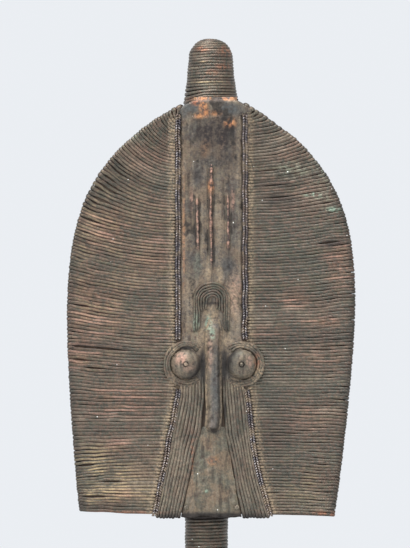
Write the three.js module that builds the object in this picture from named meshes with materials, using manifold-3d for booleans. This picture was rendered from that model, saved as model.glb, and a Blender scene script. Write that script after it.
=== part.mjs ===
// A reliquary guardian figure: a leaf-shaped wooden head on a round neck, its face sheathed in
// flattened copper and brass wire, standing on a low wooden base.
// Millimetres, +Z up, the face looks along -Y, the origin is the middle of the base's underside.
// Left and right are the viewer's, who faces the figure.

import * as THREE from 'three';
import { mergeVertices } from 'three/addons/utils/BufferGeometryUtils.js';
import Module from 'manifold-3d';

const wasm = await Module();
wasm.setup();

// Driving dimensions

const GAP = 0.35; // clearance between pieces that touch
const WIRE = 2.1; // thickness of the flattened wire
const SHEET = 0.8; // thickness of the sheet metal

const BASE = { width: 150, depth: 120, height: 30, corner: 3, bevel: 2, socketDepth: 12 };

const NECK = { radius: 15.4, pitch: 2.3, relief: 0.6, collar: 0.6, sides: 12 };

// The face board. Its outline is straight-sided below, then rounds over towards the topknot.
const BOARD = {
  chinHeight: 105,
  height: 288,
  nearTop: 284.5,
  half: 99,
  roundFrom: 99.85,
  apex: 296.2,
  roundness: 4.25,
  taper: 11.9,
  taperFrom: 150,
  taperPower: 1.6,
  lean: THREE.MathUtils.degToRad(1.15),
  offset: 0.35,
  edge: 4.5,
  middle: 13,
  rows: 17,
  leastStep: 0.8,
};

// The hollow of the face: how deep it lies before the neck's axis, and how far its rims turn forward
const DISH = { depth: 10, chin: 8, crown: 6, side: 7, lowest: 250 };

// The ridge down the middle of the back, by the depth of its crest at chin, waist and crown
const SPINE = { centre: 3, foot: 16, crest: 9, chin: 13.2, waist: 9, crown: 21 };

// The raised band down the middle of the face. A braid runs along each of its two edges.
const BAND = { centre: 3.5, left: -19.95, right: 26.95, rise: 2.5, margin: 2, shoulder: 5 };
const JAW_LEFT = { from: 187, slope: 0.195 };
const JAW_RIGHT = {
  from: 190,
  step: 3,
  stepFrom: 200,
  stepHeight: 24,
  spread: 14.5,
  height: 85,
  power: 2,
};

const ON_BAND = BAND.rise + GAP; // lift over the hollow front of what rests on the raised band

const BRAID = { radius: 1.9, sides: 6, top: 384.5, eyeTop: 226.5, eyeBottom: 192, bottom: 103.5 };

const CHEEK = {
  rows: 18,
  frontPoints: 2,
  slack: 0.35,
  rimSlack: 0.5,
  fold: 14,
  foldShare: 0.4,
  footMost: 0.5,
  left: { innerTop: 275, outerTop: 280, lag: 0.028, lagFull: 0.15, lagFades: 0.72, lagOver: 0.82 },
  right: { innerTop: 281, outerTop: 284, rise: 6, risesFrom: 60, riseFull: 190, riseFades: 240 },
};

const TOPKNOT = {
  x: 3,
  y: 3,
  foot: 394,
  pitch: 2.2,
  relief: 0.5,
  lean: 0.08,
  sides: 12,
  core: 8,
};

// The topknot's outer profile, as heights over its foot and radii
const TOPKNOT_PROFILE = [
  [0, 19.8],
  [5.6, 18.9],
  [11.2, 17.9],
  [16.8, 16.8],
  [28, 16.1],
  [33.6, 15],
  [39.2, 10.9],
  [43, 0],
];

const FOREHEAD = { bottom: 222, top: 391, brow: 370, rim: 1.6, ribHalf: 2.6, ribHeight: 2, ribEnd: 7 };
const RIBS = [
  { x: -6.4, bottom: 285.5, top: 331 },
  { x: 3.15, bottom: 274.5, top: 352 },
  { x: 15.05, bottom: 285.5, top: 331 },
];

const EYE = {
  z: 209.3,
  radius: 10.2,
  rim: 2.2,
  height: 8.2,
  domeTurn: THREE.MathUtils.degToRad(64),
  pit: 2.3,
  pitWall: 0.4,
  pitDepth: 1,
  sides: 16,
  clearance: 60,
};
const EYE_X = { left: -14.35, right: 24.6 };
const EYE_RINGS = { count: 3, inner: 10.8, outer: 16, relief: 0.6 };
const EYE_NAIL = { radius: 1.4, rim: 0.8, height: 1.3 };

const NOSE = {
  x: 4.9,
  width: 11.7,
  bottom: 162.2,
  top: 241,
  crest: 10.5,
  tip: 11.5,
  root: 7,
  tipRises: [0, 1.2, 3.5, 7],
  tipShare: 0.25,
  bridge: 192,
  step: 0.1,
  bow: [-1, -0.92, -0.6, 0, 0.6, 0.92, 1],
  sideShare: 0.35,
};

const HOOD = {
  x: 3.3,
  half: 12.4,
  crown: 266.1,
  foot: 231.8,
  innerHalf: 8.1,
  innerCrown: 254.2,
  relief: 0.8,
  segments: 10,
};

const JAW = { wires: 8, relief: 0.7, bottom: 103.2, byNose: 170, top: 206 };

// The chin plate's half-width and centre, at its lower edge and at the nose's tip
const CHIN = { centre: 3.4, half: 20.6, tipCentre: 4.3, tipHalf: 9.2, top: 161.6, bulge: 1.2 };
const CHIN_NAIL = { radius: 1.7, crown: 1, rim: 1, height: 1.2, inset: 2, lift: 4.5 };

const NAIL_SIDES = 8;

// Materials

function finish(name, color, roughness, metalness) {
  return new THREE.MeshStandardMaterial({ name, color, roughness, metalness });
}

const agedWood = finish('aged_wood', 0x3b2a1d, 0.75, 0);
const baseWood = finish('base_wood', 0x2a1f17, 0.55, 0);
const faceWire = finish('face_wire', 0x6d6154, 0.5, 0.8);
const boundWire = finish('bound_wire', 0x74675a, 0.5, 0.8);
const sheetMetal = finish('sheet_metal', 0x6a5d52, 0.5, 0.8);
const twistedWire = finish('twisted_wire', 0x5a5156, 0.45, 0.8);
const nailMetal = finish('nail_metal', 0x4a443c, 0.5, 0.8);

// Working with closed solids

function signedVolume(positions, index) {
  const a = new THREE.Vector3();
  const b = new THREE.Vector3();
  const c = new THREE.Vector3();
  let volume = 0;
  for (let i = 0; i < index.length; i += 3) {
    a.fromArray(positions, index[i] * 3);
    b.fromArray(positions, index[i + 1] * 3);
    c.fromArray(positions, index[i + 2] * 3);
    volume += a.dot(b.cross(c)) / 6;
  }
  return volume;
}

// Merges the shared vertices of a closed geometry and turns its faces outwards
function closed(geometry) {
  const bare = new THREE.BufferGeometry();
  bare.setAttribute('position', geometry.getAttribute('position'));
  bare.setIndex(geometry.getIndex());
  const merged = mergeVertices(bare, 1e-4);
  const index = Array.from(merged.getIndex().array);
  const triangles = [];
  for (let i = 0; i < index.length; i += 3) {
    const [a, b, c] = index.slice(i, i + 3);
    if (a !== b && b !== c && a !== c) {
      triangles.push([a, b, c]);
    }
  }
  const outward = signedVolume(merged.getAttribute('position').array, triangles.flat()) > 0;
  merged.setIndex(triangles.map(([a, b, c]) => (outward ? [a, b, c] : [a, c, b])).flat());
  return merged;
}

function toManifold(geometry) {
  const tidy = closed(geometry);
  const vertProperties = new Float32Array(tidy.getAttribute('position').array);
  const triVerts = new Uint32Array(tidy.getIndex().array);
  return new wasm.Manifold(new wasm.Mesh({ numProp: 3, vertProperties, triVerts }));
}

function fromManifold(solid) {
  const { vertProperties, triVerts } = solid.getMesh();
  const geometry = new THREE.BufferGeometry();
  geometry.setAttribute('position', new THREE.BufferAttribute(vertProperties, 3));
  geometry.setIndex(Array.from(triVerts));
  return geometry;
}

function joined(...geometries) {
  const solids = geometries.map(toManifold);
  return fromManifold(solids.reduce((whole, next) => whole.add(next)));
}

function cut(geometry, ...tools) {
  const solids = tools.map(toManifold);
  return fromManifold(solids.reduce((left, tool) => left.subtract(tool), toManifold(geometry)));
}

// A closed solid through sections with equal numbers of points. Each section is a strip: its first
// half runs along one side and its second half comes back along the other.
function loft(sections) {
  const size = sections[0].length;
  const last = sections.length - 1;
  const positions = sections.flat().flatMap((p) => p.toArray());
  const index = [];
  const quad = (a, b, c, d) => index.push(a, b, c, a, c, d);
  for (let row = 0; row < last; row += 1) {
    for (let i = 0; i < size; i += 1) {
      const next = (i + 1) % size;
      quad(row * size + i, row * size + next, (row + 1) * size + next, (row + 1) * size + i);
    }
  }
  for (let i = 0; i < size / 2 - 1; i += 1) {
    const back = size - 1 - i;
    quad(i, back, back - 1, i + 1);
    const top = last * size;
    quad(top + i, top + i + 1, top + back - 1, top + back);
  }
  const geometry = new THREE.BufferGeometry();
  geometry.setAttribute('position', new THREE.Float32BufferAttribute(positions, 3));
  geometry.setIndex(index);
  return geometry;
}

// A turned solid around the Z axis, from points of radius and height
function turned(points, sides) {
  const profile = points.map(([radius, height]) => new THREE.Vector2(radius, height));
  return new THREE.LatheGeometry(profile, sides).rotateX(Math.PI / 2);
}

// Numbers at even steps from one to another
function steps(from, to, count) {
  return Array.from({ length: count + 1 }, (_, i) => THREE.MathUtils.lerp(from, to, i / count));
}

// The face board

function smooth(from, to, value) {
  return THREE.MathUtils.smoothstep(value, from, to);
}

// Half the board's width at a height above its lower edge
function halfWidth(height) {
  const round = Math.max(0, (height - BOARD.roundFrom) / (BOARD.apex - BOARD.roundFrom));
  const sink = Math.max(0, 1 - height / BOARD.taperFrom);
  return BOARD.half * (1 - round ** BOARD.roundness) - BOARD.taper * sink ** BOARD.taperPower;
}

// A place on the board, given across it and up it, as seen from the front. The board leans a little.
function onBoard(across, up) {
  const sin = Math.sin(BOARD.lean);
  const cos = Math.cos(BOARD.lean);
  const x = BOARD.offset + across * cos + up * sin;
  return new THREE.Vector2(x, BOARD.chinHeight - across * sin + up * cos);
}

// One side of the board's outline, from its lower corner to a height up the board
class BoardEdge extends THREE.Curve {
  constructor(side, top) {
    super();
    this.side = side;
    this.top = top;
  }

  getPoint(t) {
    const up = t * this.top;
    const place = onBoard(this.side * halfWidth(up), up);
    return new THREE.Vector3(place.x, place.y, 0);
  }

  // The height up the board at a share of the outline's length
  heightAt(share) {
    return this.getUtoTmapping(share) * this.top;
  }

  // The direction that points out of the board at t, in the plane of the face
  outward(t) {
    const along = this.getTangent(t);
    return new THREE.Vector2(this.side * along.y, -this.side * along.x).normalize();
  }
}

// The hollow front of the face, without the raised band
function dish(x, z) {
  const above = (z - DISH.lowest) / (BOARD.chinHeight + BOARD.height - DISH.lowest);
  const below = (z - DISH.lowest) / (BOARD.chinHeight - DISH.lowest);
  const curl = above > 0 ? DISH.crown * above ** 2 : DISH.chin * below ** 2;
  return -DISH.depth - curl - DISH.side * ((x - BAND.centre) / BOARD.half) ** 2;
}

// Where the middle line of the braid on one side lies at a height
function bandEdge(side, z) {
  if (side < 0) {
    return BAND.left - JAW_LEFT.slope * Math.max(0, JAW_LEFT.from - z);
  }
  const step = JAW_RIGHT.step * smooth(0, JAW_RIGHT.stepHeight, JAW_RIGHT.stepFrom - z);
  const spread = Math.max(0, (JAW_RIGHT.from - z) / JAW_RIGHT.height) ** JAW_RIGHT.power;
  return BAND.right + step + JAW_RIGHT.spread * spread;
}

// The wood's front, with the raised band and its sloping shoulders
function front(x, z) {
  const side = x < BAND.centre ? -1 : 1;
  const past = side * (x - bandEdge(side, z)) - BAND.margin;
  const raised = 1 - THREE.MathUtils.clamp(past / BAND.shoulder, 0, 1);
  return dish(x, z) - BAND.rise * raised;
}

// The wood's back: thin at the rim, thicker inwards, with a ridge down the middle
function back(x, z) {
  const from = Math.abs(x - SPINE.centre);
  const inner = Math.max(0, 1 - from / BOARD.half);
  const plain = dish(x, z) + BOARD.edge + (BOARD.middle - BOARD.edge) * inner;
  const up = (z - BOARD.chinHeight) / BOARD.height;
  const sway = SPINE.chin * (1 - up) ** 2 + SPINE.crown * up ** 2 + 2 * SPINE.waist * up * (1 - up);
  const ridge = 1 - THREE.MathUtils.clamp((from - SPINE.crest) / (SPINE.foot - SPINE.crest), 0, 1);
  return plain + Math.max(0, sway - plain) * ridge;
}

function boardSolid() {
  const edge = new BoardEdge(1, BOARD.height);
  const levels = steps(0, 1, BOARD.rows).map((share) => edge.heightAt(share));
  levels.splice(-1, 0, BOARD.nearTop);
  const sections = levels.map((up) => {
    const half = halfWidth(up);
    const level = onBoard(0, up).y;
    const foot = BAND.margin + BAND.shoulder;
    const inner = [-SPINE.foot, -SPINE.crest, 0, SPINE.crest, SPINE.foot];
    const marks = [
      bandEdge(-1, level) - foot,
      bandEdge(-1, level) - BAND.margin,
      ...inner.map((x) => x + SPINE.centre),
      bandEdge(1, level) + BAND.margin,
      bandEdge(1, level) + foot,
    ];
    const axis = onBoard(0, up).x;
    const across = marks.map((x, i) => {
      const low = -half + BOARD.leastStep * (i + 1);
      const high = half - BOARD.leastStep * (marks.length - i);
      return THREE.MathUtils.clamp(x - axis, low, high);
    });
    const between = [(across[0] - half) / 2, (across.at(-1) + half) / 2];
    const columns = [-half, between[0], ...across, between[1], half];
    const places = columns.map((u) => onBoard(u, up));
    const ahead = places.map((p) => new THREE.Vector3(p.x, front(p.x, p.y), p.y));
    const behind = places.map((p) => new THREE.Vector3(p.x, back(p.x, p.y), p.y));
    return [...ahead, ...behind.reverse()];
  });
  return loft(sections);
}

// The topknot's outer radius at a height above its foot
function topknotRadius(height) {
  const next = TOPKNOT_PROFILE.findIndex(([level]) => level >= height);
  if (next <= 0) {
    return TOPKNOT_PROFILE[0][1];
  }
  const [lowLevel, lowRadius] = TOPKNOT_PROFILE[next - 1];
  const [highLevel, highRadius] = TOPKNOT_PROFILE[next];
  const share = (height - lowLevel) / (highLevel - lowLevel);
  return THREE.MathUtils.lerp(lowRadius, highRadius, share);
}

// Moves a turned topknot piece to its place and leans it back
function placeTopknot(geometry) {
  const lean = new THREE.Matrix4().set(1, 0, 0, 0, 0, 1, TOPKNOT.lean, 0, 0, 0, 1, 0, 0, 0, 0, 1);
  return geometry.applyMatrix4(lean).translate(TOPKNOT.x, TOPKNOT.y, TOPKNOT.foot);
}

function topknotCore() {
  const inset = WIRE + GAP;
  const sides = TOPKNOT_PROFILE.slice(0, -1).map(([level, radius]) => [radius - inset, level]);
  const crown = TOPKNOT_PROFILE.at(-1)[0] - inset;
  const foot = topknotRadius(0) - inset;
  const points = [[0, -TOPKNOT.core], [foot, -TOPKNOT.core], ...sides, [0, crown]];
  return placeTopknot(turned(points, TOPKNOT.sides));
}

function neckCore() {
  const radius = NECK.radius - WIRE - GAP;
  const bottom = BASE.height - BASE.socketDepth + GAP;
  const top = BOARD.chinHeight + TOPKNOT.core;
  return turned([[0, bottom], [radius, bottom], [radius, top], [0, top]], NECK.sides);
}

function woodenHead() {
  return joined(boardSolid(), topknotCore(), neckCore());
}

// The base

function roundedRectangle(width, depth, corner) {
  const x = width / 2;
  const y = depth / 2;
  const shape = new THREE.Shape();
  shape.moveTo(-x + corner, -y);
  shape.lineTo(x - corner, -y);
  shape.absarc(x - corner, -y + corner, corner, -Math.PI / 2, 0);
  shape.absarc(x - corner, y - corner, corner, 0, Math.PI / 2);
  shape.absarc(-x + corner, y - corner, corner, Math.PI / 2, Math.PI);
  shape.absarc(-x + corner, -y + corner, corner, Math.PI, 1.5 * Math.PI);
  return shape;
}

function baseBlock() {
  const { width, depth, height, corner, bevel, socketDepth } = BASE;
  const shape = roundedRectangle(width - 2 * bevel, depth - 2 * bevel, corner);
  const block = new THREE.ExtrudeGeometry(shape, {
    depth: height - 2 * bevel,
    bevelSize: bevel,
    bevelThickness: bevel,
    bevelSegments: 1,
    curveSegments: 3,
  }).translate(0, 0, bevel);
  const radius = NECK.radius - WIRE;
  const bottom = height - socketDepth;
  const mouth = height + 1;
  const socket = turned([[0, bottom], [radius, bottom], [radius, mouth], [0, mouth]], NECK.sides);
  return cut(block, socket);
}

// Wire bound round the neck and the topknot, one turn above another

function boundRings(bottom, top, pitch, relief, radiusAt) {
  const turns = Math.round((top - bottom) / pitch);
  const step = (top - bottom) / turns;
  const points = [[radiusAt(bottom) - relief, bottom]];
  for (let turn = 0; turn < turns; turn += 1) {
    const middle = bottom + (turn + 0.5) * step;
    const above = bottom + (turn + 1) * step;
    points.push([radiusAt(middle), middle], [radiusAt(above) - relief, above]);
  }
  return points;
}

function neckWire() {
  const bottom = BASE.height + GAP;
  const top = BOARD.chinHeight - 2 * GAP;
  const radiusAt = (z) => NECK.radius + NECK.collar * smooth(top - 2 * NECK.pitch, top, z);
  const outside = boundRings(bottom, top, NECK.pitch, NECK.relief, radiusAt);
  const inner = NECK.radius - WIRE;
  return turned([[inner, bottom], ...outside, [inner, top], [inner, bottom]], NECK.sides);
}

function topknotWire() {
  const crown = TOPKNOT_PROFILE.at(-1)[0];
  const shoulder = TOPKNOT_PROFILE.at(-2)[0];
  const outside = boundRings(GAP, shoulder, TOPKNOT.pitch, TOPKNOT.relief, topknotRadius);
  const inside = TOPKNOT_PROFILE.slice(1, -1).map(([level, radius]) => [radius - WIRE, level]);
  const foot = [topknotRadius(GAP) - WIRE, GAP];
  const points = [[0, crown - WIRE], ...inside.reverse(), foot, ...outside, [0, crown]];
  return placeTopknot(turned(points, TOPKNOT.sides));
}

// The cheeks: wires laid side by side from a braid to the rim, and folded over it to the back

// Where a wire that starts at a share of the braid's length meets the rim, as a height up the board
function wireEnd(side, share) {
  if (side < 0) {
    const { outerTop, lag, lagFull, lagFades, lagOver } = CHEEK.left;
    const behind = lag * smooth(0, lagFull, share) * (1 - smooth(lagFades, lagOver, share));
    return new BoardEdge(side, outerTop).heightAt(share - behind);
  }
  const { innerTop, outerTop, rise, risesFrom, riseFull, riseFades } = CHEEK.right;
  const up = share * innerTop;
  const lift = rise * smooth(risesFrom, riseFull, up) * (1 - smooth(riseFades, innerTop, up));
  return up + lift + (outerTop - innerTop) * share;
}

function cheekSection(side, share) {
  const { innerTop, outerTop } = side < 0 ? CHEEK.left : CHEEK.right;
  const start = onBoard(0, share * innerTop).y;
  const startX = bandEdge(side, start) + side * (BRAID.radius + GAP);
  const edge = new BoardEdge(side, outerTop);
  const up = wireEnd(side, share);
  const t = up / outerTop;
  const end = edge.getPoint(t);
  const out = edge.outward(t);
  const reach = end.x - startX;
  const foot = (side * (BAND.margin + BAND.shoulder - BRAID.radius - GAP)) / reach;
  const shares = [0, Math.min(foot, CHEEK.footMost)];
  for (let i = 1; i <= CHEEK.frontPoints; i += 1) {
    shares.push(shares[1] + ((1 - shares[1]) * i) / (CHEEK.frontPoints + 1));
  }
  const layer = (lift, rimLift) => {
    const points = shares.map((s) => {
      const x = startX + s * reach;
      const z = start + (end.y - start) * s ** 2;
      return new THREE.Vector3(x, front(x, z) - lift, z);
    });
    const corner = rimLift * Math.SQRT1_2;
    const ahead = front(end.x, end.y);
    const behind = back(end.x, end.y);
    const rim = [
      [0, ahead - lift],
      [corner, ahead - lift * Math.SQRT1_2],
      [rimLift, ahead],
      [rimLift, behind],
      [corner, behind + lift * Math.SQRT1_2],
      [0, behind + lift],
    ];
    const turn = rim.map(([away, y]) => {
      return new THREE.Vector3(end.x + out.x * away, y, end.y + out.y * away);
    });
    const fold = Math.min(CHEEK.fold, CHEEK.foldShare * halfWidth(up));
    const x = end.x - out.x * fold;
    const z = end.y - out.y * fold;
    return [...points, ...turn, new THREE.Vector3(x, back(x, z) + lift, z)];
  };
  const inside = GAP + CHEEK.slack;
  const outside = GAP + WIRE;
  return [...layer(inside, inside + CHEEK.rimSlack), ...layer(outside, outside).reverse()];
}

function cheekWires(side, eyeX) {
  const sections = [];
  for (let row = 0; row <= CHEEK.rows; row += 1) {
    sections.push(cheekSection(side, row / CHEEK.rows));
  }
  return cut(loft(sections), eyeClearance(eyeX));
}

// What lies on the face is made flat, as across, up and a lift above the hollow front, and laid on it

function layOnFace(geometry) {
  const places = geometry.getAttribute('position');
  for (let i = 0; i < places.count; i += 1) {
    const x = places.getX(i);
    const z = places.getY(i);
    places.setXYZ(i, x, dish(x, z) - places.getZ(i), z);
  }
  return geometry;
}

// A flat strip on the face between two side lines, through rows of heights, with a lift for each place
function strip(levels, shares, left, right, under, over) {
  const sections = levels.map((z) => {
    const row = shares.map((share) => THREE.MathUtils.lerp(left(z), right(z), share));
    const below = row.map((x) => new THREE.Vector3(x, z, under));
    const above = row.map((x, i) => new THREE.Vector3(x, z, over(x, z, shares[i])));
    return [...below, ...above.reverse()];
  });
  return layOnFace(loft(sections));
}

function ribLift(x, z) {
  const lifts = RIBS.map((rib) => {
    const across = Math.max(0, 1 - Math.abs(x - rib.x) / FOREHEAD.ribHalf);
    const ends = Math.min(z - rib.bottom, rib.top - z) / FOREHEAD.ribEnd;
    return FOREHEAD.ribHeight * across * THREE.MathUtils.clamp(ends, 0, 1);
  });
  return Math.max(...lifts);
}

function foreheadPlate() {
  const room = BRAID.radius + GAP;
  const rim = (side, z) => {
    const up = (z - BOARD.chinHeight) / Math.cos(BOARD.lean);
    return onBoard(side * (halfWidth(up) - FOREHEAD.rim), up).x;
  };
  const left = (z) => Math.max(bandEdge(-1, z) + room, rim(-1, z));
  const right = (z) => Math.min(bandEdge(1, z) - room, rim(1, z));
  const width = BAND.right - BAND.left - 2 * room;
  const marks = RIBS.flatMap(({ x }) => [x - FOREHEAD.ribHalf, x, x + FOREHEAD.ribHalf]);
  const shares = [0, ...marks.map((x) => (x - BAND.left - room) / width), 1];
  const { bottom, top, ribEnd } = FOREHEAD;
  const ends = RIBS.flatMap((rib) => [rib.bottom, rib.bottom + ribEnd, rib.top - ribEnd, rib.top]);
  const levels = [...steps(bottom, HOOD.crown, 2), ...ends, FOREHEAD.brow, top];
  levels.sort((a, b) => a - b);
  const rows = levels.filter((z, i) => i === 0 || z - levels[i - 1] > 1);
  const over = (x, z) => ON_BAND + SHEET + ribLift(x, z);
  const plate = strip(rows, shares, left, right, ON_BAND, over);
  return cut(plate, eyeClearance(EYE_X.left), eyeClearance(EYE_X.right));
}

// A cylinder through the face round an eye and its rings, a gap larger than they are
function eyeClearance(x) {
  const radius = EYE_RINGS.outer + GAP;
  const cylinder = new THREE.CylinderGeometry(radius, radius, EYE.clearance, EYE.sides);
  return cylinder.translate(x, -DISH.depth, EYE.z);
}

function eyeDome(x) {
  const points = [[0, ON_BAND], [EYE.radius, ON_BAND], [EYE.radius, ON_BAND + EYE.rim]];
  const crown = EYE.height - EYE.rim;
  for (const turn of steps(0, EYE.domeTurn, 3).slice(1)) {
    points.push([EYE.radius * Math.cos(turn), ON_BAND + EYE.rim + crown * Math.sin(turn)]);
  }
  const brow = ON_BAND + EYE.height;
  points.push([EYE.pit, brow], [EYE.pit - EYE.pitWall, brow - EYE.pitDepth], [0, brow - EYE.pitDepth]);
  return layOnFace(turned(points, EYE.sides).translate(x, EYE.z, 0));
}

function eyeNail(x) {
  const floor = ON_BAND + EYE.height - EYE.pitDepth + GAP;
  const { radius, rim, height } = EYE_NAIL;
  const points = [[0, floor], [radius, floor], [radius, floor + rim], [0, floor + height]];
  return layOnFace(turned(points, NAIL_SIDES).translate(x, EYE.z, 0));
}

// The rings of wire round an eye lie flat, and stop at the nose
function eyeRings(x) {
  const { count, inner, outer, relief } = EYE_RINGS;
  const step = (outer - inner) / count;
  const crest = ON_BAND + WIRE;
  const points = [[inner, ON_BAND], [inner, crest - relief]];
  for (let ring = 0; ring < count; ring += 1) {
    points.push([inner + (ring + 0.5) * step, crest], [inner + (ring + 1) * step, crest - relief]);
  }
  points.push([outer, ON_BAND], [inner, ON_BAND]);
  const rings = layOnFace(turned(points, EYE.sides).translate(x, EYE.z, 0));
  const width = NOSE.width + 2 * GAP;
  const height = 4 * EYE.radius;
  const room = new THREE.BoxGeometry(width, height, height).translate(NOSE.x, -DISH.depth, EYE.z);
  return cut(rings, room);
}

// The nose is a long blade with a round ridge. Its root lies on the forehead plate.
function nose() {
  const half = NOSE.width / 2;
  const rootStep = FOREHEAD.bottom - GAP;
  const tip = NOSE.tipRises.map((rise) => NOSE.bottom + rise);
  const levels = [...tip, NOSE.bridge, rootStep, rootStep + NOSE.step, NOSE.top];
  const sections = levels.map((z) => {
    const fromTip = THREE.MathUtils.clamp((z - NOSE.bottom) / half, 0, 1);
    const roundness = Math.sqrt(1 - (1 - fromTip) ** 2);
    const narrow = half * THREE.MathUtils.lerp(NOSE.tipShare, 1, roundness);
    const under = z > rootStep ? ON_BAND + SHEET + GAP : ON_BAND;
    const share = (z - NOSE.bottom) / (NOSE.top - NOSE.bottom);
    const crest = share < 0.5
      ? THREE.MathUtils.lerp(NOSE.tip, NOSE.crest, 2 * share)
      : THREE.MathUtils.lerp(NOSE.crest, NOSE.root, 2 * share - 1);
    const above = NOSE.bow.map((u) => {
      const lift = under + (crest - under) * Math.max(NOSE.sideShare, Math.sqrt(1 - u * u));
      return new THREE.Vector3(NOSE.x + narrow * u, z, lift);
    });
    const below = NOSE.bow.map((u) => new THREE.Vector3(NOSE.x + narrow * u, z, under));
    return [...below, ...above.reverse()];
  });
  return layOnFace(loft(sections));
}

// The hood of bent wires arches over the nose's root
function hood() {
  const arch = (half, crown) => {
    const centre = crown - half;
    const points = steps(0, Math.PI, HOOD.segments).map((angle) => {
      return new THREE.Vector2(HOOD.x + half * Math.cos(angle), centre + half * Math.sin(angle));
    });
    const feet = [HOOD.x + half, HOOD.x - half].map((x) => new THREE.Vector2(x, HOOD.foot));
    return [feet[0], ...points, feet[1]];
  };
  const outer = arch(HOOD.half, HOOD.crown);
  const inner = arch(HOOD.innerHalf, HOOD.innerCrown);
  const lift = ON_BAND + SHEET + GAP;
  const shoulder = lift + WIRE - HOOD.relief;
  const sections = outer.map((p, i) => {
    const q = inner[i];
    const middle = p.clone().lerp(q, 0.5);
    return [
      new THREE.Vector3(q.x, q.y, lift),
      new THREE.Vector3(middle.x, middle.y, lift),
      new THREE.Vector3(p.x, p.y, lift),
      new THREE.Vector3(p.x, p.y, shoulder),
      new THREE.Vector3(middle.x, middle.y, lift + WIRE),
      new THREE.Vector3(q.x, q.y, shoulder),
    ];
  });
  return layOnFace(loft(sections));
}

// One braid of twisted wire, along an edge of the raised band from one height to another
function braid(side, bottom, top, count) {
  const radius = BRAID.radius;
  const sections = steps(bottom, top, count).map((z) => {
    const x = bandEdge(side, z);
    const middle = ON_BAND + radius;
    const ring = steps(0, 2 * Math.PI, BRAID.sides).slice(0, -1);
    return ring.map((angle) => {
      const turn = angle + Math.PI / BRAID.sides;
      return new THREE.Vector3(x + radius * Math.cos(turn), z, middle + radius * Math.sin(turn));
    });
  });
  return layOnFace(loft(sections));
}

// The chin plate, and the line of its border on one side
function chinBorder(side, z) {
  const share = (z - BOARD.chinHeight) / (CHIN.top - BOARD.chinHeight);
  const centre = THREE.MathUtils.lerp(CHIN.centre, CHIN.tipCentre, share);
  return centre + side * THREE.MathUtils.lerp(CHIN.half, CHIN.tipHalf, share);
}

function chinPlate() {
  const levels = steps(JAW.bottom, CHIN.top, 6);
  const over = (x, z, share) => ON_BAND + SHEET + CHIN.bulge * Math.sin(Math.PI * share);
  return strip(levels, steps(0, 1, 6), (z) => chinBorder(-1, z), (z) => chinBorder(1, z), ON_BAND, over);
}

function chinNail(side) {
  const z = BOARD.chinHeight + CHIN_NAIL.lift;
  const x = chinBorder(side, z) - side * CHIN_NAIL.inset;
  const floor = ON_BAND + SHEET + 0.5 * CHIN.bulge + GAP;
  const { radius, crown, rim, height } = CHIN_NAIL;
  const points = [[0, floor], [radius, floor], [crown, floor + rim], [0, floor + height]];
  return layOnFace(turned(points, NAIL_SIDES).translate(x, z, 0));
}

// The jaw wires run down from under an eye between the braid and the chin plate
function jawWires(side, eyeX) {
  const besideNose = NOSE.x + side * (NOSE.width / 2 + GAP);
  const inner = (z) => {
    const byChin = chinBorder(side, Math.min(z, CHIN.top)) + side * GAP;
    return THREE.MathUtils.lerp(byChin, besideNose, smooth(CHIN.top, JAW.byNose, z));
  };
  const outer = (z) => bandEdge(side, z) - side * (BRAID.radius + GAP);
  const over = (x, z, share) => {
    const wave = Math.abs(Math.sin(Math.PI * JAW.wires * share));
    return ON_BAND + WIRE - JAW.relief * (1 - wave);
  };
  const levels = [...steps(JAW.bottom, CHIN.top, 3), ...steps(JAW.byNose, JAW.top, 3)];
  const shares = steps(0, 1, 2 * JAW.wires);
  return cut(strip(levels, shares, inner, outer, ON_BAND, over), eyeClearance(eyeX));
}

// The figure

const figure = new THREE.Group();

function add(name, geometry, material) {
  const mesh = new THREE.Mesh(closed(geometry), material);
  mesh.name = name;
  figure.add(mesh);
}

add('base', baseBlock(), baseWood);
add('wooden_head', woodenHead(), agedWood);
add('neck_wire', neckWire(), boundWire);
add('topknot_wire', topknotWire(), boundWire);
add('forehead_plate', foreheadPlate(), sheetMetal);
add('nose_hood', hood(), boundWire);
add('nose', nose(), sheetMetal);
add('chin_plate', chinPlate(), sheetMetal);

for (const [name, side] of [['left', -1], ['right', 1]]) {
  const eyeX = EYE_X[name];
  add(`cheek_wires_${name}`, cheekWires(side, eyeX), faceWire);
  add(`braid_upper_${name}`, braid(side, BRAID.eyeTop, BRAID.top, 8), twistedWire);
  add(`braid_lower_${name}`, braid(side, BRAID.bottom, BRAID.eyeBottom, 6), twistedWire);
  add(`eye_${name}`, eyeDome(eyeX), sheetMetal);
  add(`eye_rings_${name}`, eyeRings(eyeX), boundWire);
  add(`eye_nail_${name}`, eyeNail(eyeX), nailMetal);
  add(`jaw_wires_${name}`, jawWires(side, eyeX), faceWire);
  add(`chin_nail_${name}`, chinNail(side), nailMetal);
}

export default figure;
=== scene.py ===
"""Looks of a reliquary guardian figure: a hollow-faced wooden head sheathed in copper and brass wire.

Lengths here are millimetres, as in the part's own source, and each finished mesh is scaled to metres.
Left and right are the viewer's, who faces the figure. The face looks along -Y.
"""

import math
from types import SimpleNamespace as Sizes

import bmesh
import bpy
import numpy as np
from mathutils import Matrix, Vector

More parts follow.
